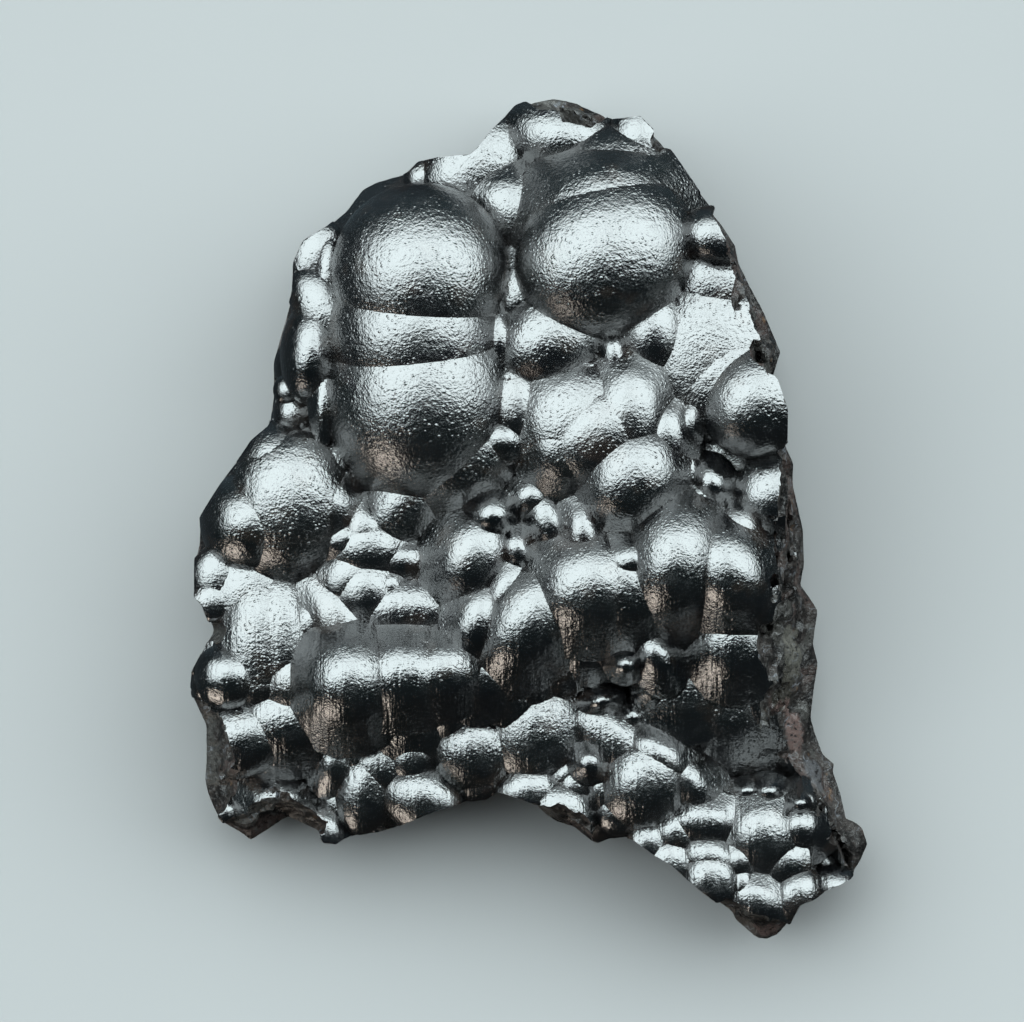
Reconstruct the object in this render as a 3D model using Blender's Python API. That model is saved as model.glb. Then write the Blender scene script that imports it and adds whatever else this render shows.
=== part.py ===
"""Goethite: a hand specimen of botryoidal crust, lying on its broken back.

Lengths in the tables are in millimetres. +Z points out of the grown, domed side, +Y runs along the
specimen and +X across it. The origin is at the middle of the plane that it rests on.
"""

import math

import bmesh
import bpy
from mathutils import Matrix, Vector, noise

MM = 0.001

# Driving dimensions of the specimen
WAIST_HEIGHT = 5.0  # where the outline is widest
SLAB_HEIGHT = 7.0  # the plain rock under the lowest domes
TOP_HEIGHT = 26.0  # clear above the highest dome
FOOT_INSET = 1.5  # how far the foot is drawn in from the waist
SLAB_DROP = 1.0  # how far the rock runs on below the foot, where it is cut off
LARGE_DOME = 3.0
ROOT_SIDES = 24
ROOT_SHARE = 0.88  # the width of the rock under a dome without a skirt, against the dome's
SMALL_BROW = 0.66  # how far out, of its half width, a small dome turns into a straight skirt
LARGE_BROW = 0.92
BROW_FROM = 2.5
BROW_GROWTH = 0.06
SKIRT_END = 1.35
SKIRT_CLEARANCE = 1.25  # domes nearer than this to an edge that the skin wraps round have no skirt
GRAIN = 0.34  # how finely the fused domes are sampled
GROWN_FACE_SHARE = 0.029  # the share of those faces that is kept
HOLLOW_GRAIN = 0.6
HOLLOW_FACE_SHARE = 0.022

# The outline as seen from above: x, y, and how far inside it the skin of domes ends. A skin that ends
# more than BROKEN_FROM inside the outline leaves a broken face, and elsewhere domes wrap round the edge.
BROKEN_FROM = 0.5
OUTLINE = [
    (-2.1, 32.1, 0.2), (-1.1, 33.2, 0.3), (0.5, 33.7, 0.6), (2.1, 34, 1.1), (3.7, 33.7, 1.3),
    (6.1, 32.6, 0.8), (6.6, 32, 0.2), (8.9, 32.2, 0.2), (10.6, 30.5, 0.6), (11.7, 29.1, 0.4),
    (13.7, 26.2, 0.3), (15.6, 23.8, 0.6), (16.7, 22.1, 0.8), (17, 20.6, 0.5), (18.2, 18.3, 1),
    (19.1, 16.6, 1.1), (19.7, 15.1, 1.3), (20.4, 13.5, 1.9), (19.7, 11.3, 0.5), (20.6, 8.7, 0.2),
    (20.6, 6.3, 0.4), (21.4, 4.6, 1), (21.4, 2.7, 0.8), (22.2, -0.9, 1.6), (22.3, -3.7, 1.9),
    (22, -5.3, 1.6), (23.4, -7.4, 2.7), (23, -10.1, 3.2), (23.4, -11.7, 3.4), (23.1, -13.7, 3),
    (22.8, -16.2, 2.6), (23.3, -17.7, 2.4), (23.8, -19, 2.2), (24.7, -19.8, 1.9), (24.6, -20.4, 1.8),
    (25.2, -22.1, 1.4), (25.7, -24.2, 1), (26.4, -24.5, 1.3), (27, -25, 1.4), (27.4, -26.3, 1.6),
    (26.9, -27.5, 1), (26, -29, 0.2), (25, -29.5, 0.2), (23.8, -30, 0.2), (22.9, -30.6, 0.2),
    (21.8, -31, 0.2), (21, -32.6, 0.4), (20.2, -33.6, 1), (19.3, -34, 1.1), (18.4, -33.9, 1.2),
    (17.6, -33.2, 1.1), (16.7, -32.4, 1), (16.4, -31.8, 0.9), (15.8, -31.3, 0.7), (14.7, -30.6, 0.3),
    (13.8, -29.9, 0.2), (12.5, -28.8, 0.2), (11.4, -27.8, 0.2), (10, -27, 0.2), (8.9, -26.2, 0.2),
    (8.1, -25.7, 0.2), (6.4, -25.8, 0.2), (5.6, -26.2, 0.2), (5, -26, 0.5), (3.6, -24.9, 0.6),
    (2.3, -24.5, 0.8), (1.5, -24, 0.8), (0.9, -23.5, 0.7), (0.5, -23, 0.4), (-0.2, -22.7, 0.2),
    (-1.3, -22.3, 0.2), (-2.5, -22, 0.2), (-3.4, -22.6, 0.2), (-5.1, -22.8, 0.2), (-7.5, -23.5, 0.2),
    (-9.2, -24.2, 0.2), (-10.8, -24.9, 0.2), (-12.2, -25.3, 0.2), (-13.8, -25.5, 0.2),
    (-14.7, -25.7, 0.2), (-15.5, -26.2, 0.2), (-16.6, -26.1, 0.2), (-17.1, -25.2, 0.6),
    (-18.6, -24.5, 1.4), (-19.5, -24.1, 1.3), (-20.6, -24.8, 1.8), (-21.7, -25.5, 1.8),
    (-22.5, -26, 1.6), (-23.1, -25.5, 1.1), (-24.5, -24.7, 0.5), (-25.2, -23.9, 0.5),
    (-25.6, -23.1, 1), (-26, -22.1, 1.8), (-26.2, -21, 2.2), (-26.1, -19.6, 2), (-26.1, -18, 1.8),
    (-26.1, -16.7, 1.4), (-27.3, -14.1, 0.3), (-27.1, -12.2, 0.2), (-26.2, -10.5, 0.4),
    (-25.5, -9, 0.6), (-26.3, -6.9, 0.2), (-26.9, -6.3, 0.2), (-26.9, -5.3, 0.2), (-26.9, -3.3, 0.2),
    (-26.6, -2.1, 0.2), (-26.5, 0.1, 0.2), (-24.6, 3.1, 0.2), (-22.9, 5.4, 0.2), (-22.3, 6.3, 0.2),
    (-20.9, 7.5, 0.2), (-20.6, 9.9, 0.2), (-20.6, 12.7, 0.2), (-19.8, 15.5, 0.2), (-19, 18.2, 0.2),
    (-18.9, 20.6, 0.2), (-18.1, 22.3, 0.2), (-16.3, 23.4, 0.2), (-14.7, 24.7, 0.2),
    (-13.4, 26.5, 0.2), (-12.3, 27.1, 0.2), (-9.8, 27.8, 0.2), (-8.9, 28.7, 0.2), (-7.3, 29, 0.2),
    (-4.7, 29.2, 0.2), (-3.9, 30, 0.2), (-3.1, 31.1, 0.2),
]

# What grew, each an ellipsoid: x, y, the half widths along its own x and y, its turn in degrees, the
# height of its top and its half height. The mounds are the broad swells that carry the domes.
MOUNDS = [
    (5, 23.19, 12.39, 10.46, 2, 16.69, 13.61),
    (-7.88, 17.54, 12.19, 11.63, 2, 16.01, 12.74),
    (5.61, 7.12, 13.33, 12.36, 1, 17.02, 13.72),
    (16.03, 5.47, 8.63, 12.72, 1, 15.56, 11.95),
    (-18.36, 1.41, 9.92, 9.19, 0, 11.48, 9.06),
    (9.78, -5.7, 13.14, 4.67, 0, 16.37, 10),
    (-8.85, -8.77, 10.82, 6.76, -1, 12.62, 8.96),
    (8.84, -16.1, 15.59, 7.56, -3, 8.49, 6.85),
    (-14.18, -21.63, 13.14, 6.52, -3, 8.46, 7.08),
    (5.62, -21.59, 10.37, 5.37, 1, 9.46, 6.9),
    (18.44, -27.2, 8.7, 6.84, 0, 8.43, 7.16),
    (-21.59, -11.39, 7.76, 8.71, 0, 11, 9.21),
]

DOMES = [
    # the column of three big domes
    (-8.62, 19.67, 7.21, 7.26, -3, 22.94, 7.25),
    (-8.97, 15.03, 6.98, 6.93, 1, 22.08, 6.92),
    (-8.53, 10.15, 7.99, 8.95, -4, 21.8, 8.86),
    (-5.31, 5.82, 5.69, 4.7, 27, 18.66, 4.48),
    (-9.78, 1.77, 3.67, 5.41, -33, 16.04, 4.73),
    (-15.87, 4.32, 2.87, 2.64, -2, 15.14, 3.3),
    # small domes between the big ones
    (-0.93, 9.05, 2.39, 3.15, 19, 18.5, 1.67),
    (-2.32, 6.31, 1.98, 1.58, 3, 18.37, 1.4),
    (-3.3, 4.39, 1.29, 1.45, 0, 17.48, 1.39),
    (-1.59, 11.2, 0.95, 0.97, -7, 18.08, 1.22),
    # upper left edge
    (-16.9, 21.15, 2.29, 2.94, -17, 15.27, 1.66),
    (-17.94, 19.83, 1.08, 1.17, 4, 13.67, 1.12),
    (-16.17, 16.53, 4.32, 2.6, -60, 16.48, 2.66),
    (-16.1, 19.79, 1.25, 3.07, -2, 15.79, 1.71),
    (-17.37, 13.48, 2.6, 4.38, -5, 16.96, 3.92),
    (-19.28, 10.35, 1.3, 1.34, 2, 12.68, 1.27),
    (-18.78, 8.54, 1.84, 1.9, -3, 12.42, 1.91),
    (-16.39, 9.46, 1.01, 2.66, -1, 16.11, 1.46),
    # left lobe
    (-18.97, 1.7, 4.97, 5.49, -9, 17.06, 3.68),
    (-22.4, -0.26, 4.08, 4.18, 3, 16.45, 5.3),
    (-16.52, 1.16, 3.28, 3.75, -15, 16.23, 3.14),
    (-19.03, -0.06, 5.08, 4.84, 8, 16.51, 4.56),
    (-20, 3.68, 3.44, 4.32, 12, 16.1, 3.84),
    (-14.64, 1.88, 0.99, 0.99, 0, 14.84, 0.95),
    (-24.76, -4.6, 2.48, 2.73, 0, 13.05, 1.65),
    (-25.36, -6.66, 1.8, 1.7, -3, 13.12, 1),
    (-22.13, -5.94, 3.12, 3.42, 6, 13.52, 1.46),
    (-21.62, -9.88, 3.83, 6.62, -3, 14.45, 3.79),
    (-19.88, -9.58, 3.22, 6.39, 2, 14.46, 3.77),
    (-24.09, -12.69, 2.94, 2.77, -21, 14.59, 3.13),
    (-25.61, -13.12, 1.64, 1.68, -2, 12.8, 1.72),
    (-18.72, -13.02, 2.68, 2.95, 6, 14.54, 2.3),
    (-17.27, -8.28, 2.13, 2.04, -4, 14.06, 1.68),
    (-23.23, -8.12, 1.59, 1.37, 2, 13.35, 1.49),
    (-26.08, -11.92, 1.44, 1.12, 0, 12.6, 1.4),
    (-21.76, -13.17, 2.66, 2, 3, 13.89, 1.8),
    (-18.08, -11.28, 1.12, 2.08, 0, 13.6, 1.4),
    # middle left
    (-13.19, -0.87, 1.93, 2.45, 8, 15.37, 1.7),
    (-14.91, -1.58, 1.85, 1.65, -1, 15.32, 1.46),
    (-12.91, -2.25, 2.91, 2.53, -2, 15.58, 1.94),
    (-10.38, -3.32, 2.87, 1.81, -5, 14.95, 1.83),
    (-14.14, -4.7, 2.92, 3.04, -10, 15.13, 2.33),
    (-13.05, -5.71, 2.38, 2.59, 19, 15.47, 1.7),
    (-11.04, -5.38, 1.07, 1.25, 6, 15.01, 1.06),
    (-15.08, -8.37, 4.01, 2.28, -61, 15.06, 2.16),
    (-9.89, -7.15, 4.91, 3.06, 0, 15.49, 3.46),
    # the centre
    (-2.91, 0.32, 2.59, 2.49, 4, 18.22, 5.06),
    (-4.42, -2.93, 3.38, 4.25, -24, 17.97, 3.86),
    (-0.92, -2.41, 1.43, 1.86, 18, 17.49, 2.01),
    (-1.72, -5.71, 1.64, 2.46, -18, 17.48, 1.62),
    (-4.07, -8.09, 2.33, 3.35, -16, 17.73, 2.89),
    (0.22, -7.89, 3.79, 5.44, -35, 19.22, 4.5),
    # the long ridge
    (4.97, -5.35, 4.75, 4.49, 17, 20.76, 4.53),
    (7.67, -5.24, 4.61, 4.27, 12, 20.3, 4.12),
    (11.73, -3.24, 4.5, 5.75, -9, 22.16, 6.66),
    (15.91, -4.08, 3.75, 4.65, 28, 21.58, 4.97),
    (18.28, -5.38, 2.7, 4.22, 2, 19.27, 3.95),
    (8.2, -3.36, 2.61, 2.03, 2, 20.36, 2.72),
    # upper right
    (6.13, 21.14, 6.58, 7.57, -60, 23.15, 6.13),
    (5.86, 24.21, 6, 5.02, 23, 21.45, 4.95),
    (6.61, 26.9, 5.76, 4.81, 11, 18.53, 4.7),
    (14.98, 22.48, 3.11, 2.46, -20, 20.87, 2.61),
    (15.24, 18.74, 4.67, 3.63, -20, 18.73, 2.5),
    (15.04, 13.39, 6.45, 7.6, 16, 19.29, 4.06),
    (16.7, 11.39, 5.94, 4.87, 1, 19.56, 3.62),
    (18.28, 9.5, 4.32, 4.9, -37, 21.52, 4.5),
    (9.91, 15.15, 3.18, 4.29, 2, 19.44, 3.9),
    (6.78, 13.2, 1.23, 2.11, 7, 18.82, 1.79),
    (1.7, 14.49, 5.16, 4.43, 31, 19.75, 4.81),
    (-0.71, 17.91, 2.76, 3.07, -4, 17.88, 2.39),
    (-2.41, 14.44, 1.61, 2.62, 8, 18.42, 2.08),
    (4.63, 7.58, 5.6, 4.88, -21, 20.19, 3.26),
    (7.94, 8.6, 3.26, 4.58, -4, 20.62, 3.3),
    (5.8, 7.04, 5.38, 4.25, 30, 20.68, 3.99),
    (3.03, 6.19, 3.49, 4.17, 3, 19.79, 3.44),
    (8.29, 3.5, 4.34, 4.94, -26, 21.11, 4.76),
    (4.31, -1.11, 1.73, 2.88, 7, 19.05, 2.46),
    (10.86, 6.76, 2.31, 3.17, -5, 19.54, 2.8),
    (12.77, 7.66, 1.19, 2.01, -13, 18.62, 1.55),
    (14.58, 2.91, 1.64, 1.94, 21, 18.26, 2.46),
    (12.82, 3.83, 0.82, 1.8, -5, 17.73, 1.27),
    (13.52, 1.48, 1.1, 1.21, -6, 17.93, 1.1),
    (19.8, 1.97, 3.76, 3.75, -1, 19.15, 3.88),
    (16.71, -0.89, 2.5, 2.95, -8, 19.06, 4.02),
    (18.83, -2.85, 1.96, 2.17, 2, 17.52, 2.06),
    (0.18, 1.8, 1.63, 1.61, 1, 17.36, 1.71),
    (1.6, -0.23, 1.82, 2.95, 24, 17.58, 2.42),
    (3.02, -2.75, 2.48, 2.39, 1, 17.59, 2.3),
    (-2.69, 18.17, 0.92, 2.16, 2, 18.36, 1.41),
    (6.64, 13.36, 0.96, 0.96, 0, 17.6, 1.2),
    (4.42, 11.75, 1.72, 1.16, 23, 18.37, 1.45),
    # top edge
    (2.91, 30.65, 5.63, 4, -13, 16.8, 5.97),
    (-4.12, 28.29, 5.17, 3.98, 42, 15.25, 3.07),
    (-8.37, 27.39, 1.78, 1.76, 3, 13.36, 1.83),
    (-1.11, 24.73, 3.94, 3.28, -47, 16.57, 2.98),
    (8.96, 30.32, 2.58, 3.23, 10, 17.1, 2.38),
    # below the ridge
    (7.68, -11.59, 1.39, 1.36, -4, 17.5, 2.9),
    (10.11, -10.71, 1.95, 2.9, 22, 17.19, 3.36),
    (16.61, -9.52, 3.66, 4.17, -5, 17.49, 3.47),
    (13.41, -11.36, 1.07, 1.14, 2, 15.01, 1.16),
    (12.79, -13.07, 3.5, 3.93, -17, 14.31, 2),
    (15.37, -13.92, 4.57, 5.27, 38, 13.6, 3.98),
    (18.73, -13.42, 3.38, 4.24, -7, 13.47, 3.75),
    (9.92, -13.6, 1.37, 1.49, -5, 14.43, 1.99),
    (5.79, -14.55, 1.53, 1.11, 15, 14.39, 2.55),
    (8.33, -15.85, 1.13, 1.15, 2, 12.98, 1.73),
    (18.18, -17.56, 4.68, 3.97, 10, 10.57, 4.94),
    (-0.19, -12.7, 2.4, 2.36, 4, 14.5, 2.37),
    (-1.75, -13.7, 2.04, 2.3, -2, 14.35, 1.75),
    (4.32, -10.45, 2.8, 2.29, -9, 15.56, 2.94),
    (16.91, -14.79, 2.7, 2.79, 1, 13.14, 2.68),
    (19.1, -13.31, 1.75, 2.35, 20, 13.97, 2.99),
    (12.16, -14.48, 2, 2.16, 0, 14, 2.4),
    (13.97, -17.13, 3.1, 2.14, -30, 11.36, 2.44),
    (17.64, -18.17, 3.1, 1.95, -6, 10.56, 2.71),
    (22.19, -19.81, 1.55, 1.21, -29, 10.63, 2.73),
    (2.43, -11.67, 2.1, 2.05, -3, 14.56, 2.09),
    # the long rounded log
    (-14.41, -12.88, 4.45, 4.73, -17, 18.94, 6.11),
    (-10.11, -12.48, 4.18, 3.65, 4, 18.2, 4.07),
    (-7.07, -12.26, 3.87, 3.15, 21, 17.75, 3.75),
    (-4.06, -12.38, 3.48, 3.13, 6, 16.1, 3.06),
    (-9.31, -15.22, 2.98, 3.29, -14, 13.71, 2.2),
    (-6.46, -15.91, 1.5, 1.36, -4, 13.5, 1.54),
    # lower skirt, left and middle
    (-23.06, -17.46, 4.41, 3.4, 15, 13.93, 3.97),
    (-19.41, -16.05, 4.73, 3.73, 7, 13.99, 3.93),
    (-20.08, -22.46, 2.65, 2.13, -8, 11.09, 3.56),
    (-15.62, -19.45, 1.94, 2.57, -3, 11.6, 2.76),
    (-13.71, -18.85, 1.84, 2, -2, 11.3, 1.86),
    (-24.47, -23.63, 1.74, 1.7, 1, 9.6, 2.54),
    (-20.54, -23.51, 2.6, 3.16, 7, 11.42, 3.01),
    (-16.51, -25.15, 2.15, 2.62, 10, 10.3, 2.67),
    (-12.9, -21.1, 2.77, 4.45, -15, 11.54, 2.84),
    (-11.77, -19.61, 2.62, 2.83, -7, 11.76, 1.91),
    (-8.6, -22.43, 3.72, 2.94, -30, 12.35, 2.89),
    (-9.32, -18.85, 2.4, 3, -18, 12.29, 2.79),
    (-4.49, -18.27, 4.01, 4, 3, 13.15, 3.9),
    (-4.11, -20.68, 2.25, 2.14, 3, 11.59, 2.04),
    (0.67, -16.62, 4.3, 4.9, -28, 13.51, 3.5),
    (6.98, -17.74, 2.94, 5.5, 47, 13.31, 3.51),
    (4.8, -19.56, 1.32, 1.43, 8, 13.75, 1.83),
    (9.39, -20.84, 4.51, 3.84, 58, 14.4, 4.25),
    (12.49, -20.83, 3.65, 2.3, -45, 13.2, 3.69),
    (10.39, -19.01, 2.31, 3.4, 48, 14.12, 3.39),
    (0.05, -21.92, 3.13, 2.61, 8, 12.46, 2.69),
    (2.57, -23.76, 3.03, 3.01, -1, 12.87, 2.47),
    (3.72, -21.34, 1.41, 1.64, -6, 12.2, 1.35),
    (5.93, -21.64, 1.38, 1.82, 6, 12.37, 1.53),
    (7.26, -23.24, 2.14, 2.29, -12, 12.32, 2),
    (3.02, -20.54, 1.08, 1.22, -6, 11.91, 0.77),
    # lower skirt, right
    (14.11, -24.29, 2.94, 2.01, -2, 12.73, 1.99),
    (18.77, -25.35, 3.16, 3.29, 1, 13.15, 2.8),
    (21.8, -24.77, 2.42, 2.56, -3, 12.61, 4),
    (9.59, -26.11, 1.78, 2.09, -8, 12.25, 1.6),
    (11.38, -27.68, 2.1, 2.26, 5, 12.5, 1.65),
    (11.81, -25.23, 1.62, 1.94, 10, 12.33, 1.42),
    (14.59, -27.24, 2.7, 2.08, -19, 12.7, 2.24),
    (14.63, -29.05, 2.35, 2.55, 13, 13.13, 1.76),
    (17.11, -29.4, 0.96, 1.51, 2, 12.46, 1.08),
    (18.36, -30.63, 2.56, 1.98, -33, 12.82, 1.88),
    (21.59, -30.25, 2.02, 2.49, -30, 12.55, 2.09),
    (24.47, -29.97, 2.67, 2.19, -10, 9.72, 2.72),
    (20.68, -27.49, 1.5, 1.51, 17, 12.29, 0.97),
    (16.49, -22.99, 1.76, 1.62, -3, 11.28, 1.88),
    (19.26, -21.89, 1.54, 1.23, 1, 12.28, 2.95),
    (21.92, -22.77, 1.84, 1.6, 2, 12.36, 3.29),
    (26.27, -24.86, 1.77, 2.46, -3, 10.72, 3.01),
    (16.87, -27.45, 1.01, 1.22, -2, 12.58, 0.88),
    (17.58, -21.85, 1.25, 0.93, 6, 11.64, 2.18),
    (15.39, -22.81, 1.1, 0.97, -3, 11.63, 1.39),
    (21.77, -22.83, 1.03, 0.87, 5, 12.92, 1.83),
]

# Domes that carry the skin down the sides
SIDE_SPACING = 3.4
SIDE_RADIUS = 2.3
SIDE_SMALLEST = 0.8  # of the radius above
SIDE_RANGE = 0.5
SIDE_CENTRE_HEIGHT = 6.4
SIDE_HEIGHT_RANGE = 2.0
SIDE_SUNK = 0.4  # how far a side dome stays below the growth over it
SIDE_CLEARANCE = 0.05

# The broken faces round the rim
RIM_SPACING = 2.0
RIM_LEVELS = (0.0, 2.2, WAIST_HEIGHT, 7.5, 10.0, 12.5, 15.5, 19.5, TOP_HEIGHT)
FOOT_CURVE = 1.5  # the power of the foot's curve
RIM_CHIP = 0.55
RIM_CHIP_BIAS = 0.4  # chips go in more than they stand out
FULLY_CHIPPED = 1.5  # the lean from which a rim is chipped at full strength
RIM_CHIP_LENGTH = 3.2
STEEPEST = 4.0  # the least height between the waist and the edge of the skin

# The hollows broken out of the back, on a loose grid round the flat that it rests on
HOLLOW_SPACING = 9.0
HOLLOW_COLUMNS = 4  # on each side of the middle
HOLLOW_ROWS = 5
HOLLOW_SHIFT = 0.7  # of the spacing
HOLLOW_RADIUS = 5.2
HOLLOW_NARROW = 0.7  # the width of a hollow against its length
HOLLOW_DEPTH = 1.5
HOLLOW_START = 0.4  # how far below the back a bowl's middle lies
SMALLEST_HOLLOW = 0.75  # of the radius above
HOLLOW_RANGE = 0.5
SHALLOWEST = 0.5  # of the depth above
REST_FLAT = (0.5, 1.0)  # the middle of the flat
REST_FLAT_RADIUS = 10.5

SHARP_FROM = 40  # degrees
DARK_METAL = (0.055, 0.058, 0.063, 1.0)
DARK_METAL_ROUGHNESS = 0.3
DARK_METAL_METALLIC = 0.85


def clear_scene():
    for obj in list(bpy.data.objects):
        bpy.data.objects.remove(obj, do_unlink=True)


def scatter(a, b, channel=0):
    """A number from 0 to 1 that looks random but is the same for the same place."""
    value = math.sin(127.1 * a + 311.7 * b + 74.7 * channel) * 43758.5453
    return value - math.floor(value)


def growth_height(x, y):
    """The height of the domed surface above a point, or the slab's where no dome covers it."""
    best = SLAB_HEIGHT
    for cx, cy, rx, ry, turn, top, rz in MOUNDS + DOMES:
        angle = math.radians(turn)
        dx = x - cx
        dy = y - cy
        p = (dx * math.cos(angle) + dy * math.sin(angle)) / rx
        q = (dy * math.cos(angle) - dx * math.sin(angle)) / ry
        inside = 1 - p * p - q * q
        if inside > 0:
            best = max(best, top - rz + rz * math.sqrt(inside))
    return best


def walk_outline(spacing):
    """Points along the outline at an even spacing, each with its inward normal and its skin inset."""
    corners = OUTLINE + OUTLINE[:1]
    points = []
    for (x0, y0, lean0), (x1, y1, lean1) in zip(corners, corners[1:]):
        length = math.hypot(x1 - x0, y1 - y0)
        steps = max(1, round(length / spacing))
        for step in range(steps):
            t = step / steps
            points.append((x0 + (x1 - x0) * t, y0 + (y1 - y0) * t, lean0 + (lean1 - lean0) * t))
    count = len(points)
    walked = []
    for i, (x, y, lean) in enumerate(points):
        before = points[i - 2]
        after = points[(i + 2) % count]
        along = Vector((after[0] - before[0], after[1] - before[1])).normalized()
        # The outline runs clockwise, so the specimen is on the right hand.
        inward = Vector((along.y, -along.x))
        walked.append((Vector((x, y)), inward, lean))
    return walked


def placed(x, y, z, rx, ry, rz, turn):
    """Where a shape of radius or half height 1 goes, and how far it is stretched."""
    place = Matrix.Translation(Vector((x, y, z)) * MM)
    place = place @ Matrix.Rotation(math.radians(turn), 4, "Z")
    return place @ Matrix.Diagonal((rx * MM, ry * MM, rz * MM, 1.0))


def add_ellipsoid(mesh, x, y, z, rx, ry, rz, turn):
    subdivisions = 4 if max(rx, ry) > LARGE_DOME else 3
    place = placed(x, y, z, rx, ry, rz, turn)
    bmesh.ops.create_icosphere(mesh, subdivisions=subdivisions, radius=1.0, matrix=place)


def add_cone(mesh, place, low_radius, high_radius):
    bmesh.ops.create_cone(
        mesh, cap_ends=True, segments=ROOT_SIDES, radius1=low_radius, radius2=high_radius, depth=2.0,
        matrix=place,
    )


def add_root(mesh, x, y, rx, ry, turn, height, share):
    """The solid rock from below the foot up to the given height under a dome."""
    half = (height + SLAB_DROP) / 2
    add_cone(mesh, placed(x, y, half - SLAB_DROP, rx, ry, half, turn), share, share)


def add_skirt(mesh, x, y, z, rx, ry, rz, turn, brow):
    """The straight skirt that a dome runs out into below its brow, and the rock under that."""
    level = math.sqrt(1 - brow * brow)
    fall = (SKIRT_END - brow) * brow / level
    middle = z + rz * (level - fall / 2)
    add_cone(mesh, placed(x, y, middle, rx, ry, rz * fall / 2, turn), SKIRT_END, brow)
    foot = z + rz * (level - fall)
    if foot > 0:
        add_root(mesh, x, y, rx, ry, turn, foot, SKIRT_END)


def brow_of(x, y, rx, ry, edges):
    """Where a dome's skirt starts, as a share of its half width, or 1 where it has none."""
    reach = SKIRT_CLEARANCE * max(rx, ry)
    if any(math.hypot(x - at.x, y - at.y) < reach for at in edges):
        return 1.0
    return min(max(SMALL_BROW + BROW_GROWTH * ((rx + ry) / 2 - BROW_FROM), SMALL_BROW), LARGE_BROW)


def add_slab(mesh, walked):
    """The plain rock between the outline and itself, up to the lowest domes."""
    bottom = [mesh.verts.new((at.x * MM, at.y * MM, -SLAB_DROP * MM)) for at, _, _ in walked]
    top = [mesh.verts.new((at.x * MM, at.y * MM, SLAB_HEIGHT * MM)) for at, _, _ in walked]
    join_rings(mesh, bottom, top)
    mesh.faces.new(bottom)
    mesh.faces.new(reversed(top))


def join_rings(mesh, lower, upper):
    """A band of quads between two clockwise rings, facing out."""
    for i in range(len(lower)):
        j = (i + 1) % len(lower)
        mesh.faces.new((lower[j], lower[i], upper[i], upper[j]))


def finish_mesh(mesh, name):
    bmesh.ops.recalc_face_normals(mesh, faces=mesh.faces)
    bmesh.ops.triangulate(mesh, faces=mesh.faces)
    data = bpy.data.meshes.new(name)
    mesh.to_mesh(data)
    mesh.free()
    obj = bpy.data.objects.new(name, data)
    bpy.context.scene.collection.objects.link(obj)
    return obj


def as_helper(obj):
    obj.hide_render = True
    obj.display_type = "WIRE"
    return obj


def make_growth():
    """Every mound and dome on the slab, overlapping, before they are fused."""
    mesh = bmesh.new()
    walked = walk_outline(RIM_SPACING)
    edges = [at for at, _, lean in walked if lean <= BROKEN_FROM]
    add_slab(mesh, walked)
    for x, y, rx, ry, turn, top, rz in MOUNDS + DOMES:
        add_ellipsoid(mesh, x, y, top - rz, rx, ry, rz, turn)
        brow = brow_of(x, y, rx, ry, edges)
        if brow < 1:
            add_skirt(mesh, x, y, top - rz, rx, ry, rz, turn, brow)
        elif top > rz:
            add_root(mesh, x, y, rx, ry, turn, top - rz, ROOT_SHARE)
    for at, inward, lean in walk_outline(SIDE_SPACING):
        if lean > BROKEN_FROM:
            continue
        size = SIDE_RADIUS * (SIDE_SMALLEST + SIDE_RANGE * scatter(at.x, at.y))
        low = SIDE_CENTRE_HEIGHT + SIDE_HEIGHT_RANGE * (scatter(at.x, at.y, 1) - 0.5)
        low = min(low, growth_height(*(at + inward * size)) - size - SIDE_SUNK)
        middle = at + inward * (size + SIDE_CLEARANCE)
        add_ellipsoid(mesh, middle.x, middle.y, low, size, size, size, 0)
    return finish_mesh(mesh, "goethite")


def rim_inset(level, at, inward, lean):
    """How far the broken rim lies inside the outline at one height."""
    if level < WAIST_HEIGHT:
        inset = FOOT_INSET * (1 - level / WAIST_HEIGHT) ** FOOT_CURVE
        rough = 1 - level / WAIST_HEIGHT
    elif lean <= BROKEN_FROM:
        return 0.0
    else:
        edge = at + inward * lean
        rise = max(STEEPEST, growth_height(edge.x, edge.y) - WAIST_HEIGHT)
        climbed = min(1.0, (level - WAIST_HEIGHT) / rise)
        inset = lean * climbed
        rough = climbed * min(1.0, lean / FULLY_CHIPPED)
    place = Vector((at.x, at.y, level)) / RIM_CHIP_LENGTH
    return max(0.0, inset + rough * RIM_CHIP * (noise.noise(place) + RIM_CHIP_BIAS))


def make_broken_block():
    """The block that the break left: widest at the waist, drawn in at the foot and along the broken rim."""
    walked = walk_outline(RIM_SPACING)
    mesh = bmesh.new()
    rings = []
    for level in RIM_LEVELS:
        ring = []
        for at, inward, lean in walked:
            point = at + inward * rim_inset(level, at, inward, lean)
            ring.append(mesh.verts.new((point.x * MM, point.y * MM, level * MM)))
        rings.append(ring)
    for lower, upper in zip(rings, rings[1:]):
        join_rings(mesh, lower, upper)
    mesh.faces.new(rings[0])
    mesh.faces.new(reversed(rings[-1]))
    return as_helper(finish_mesh(mesh, "broken_block"))


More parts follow.
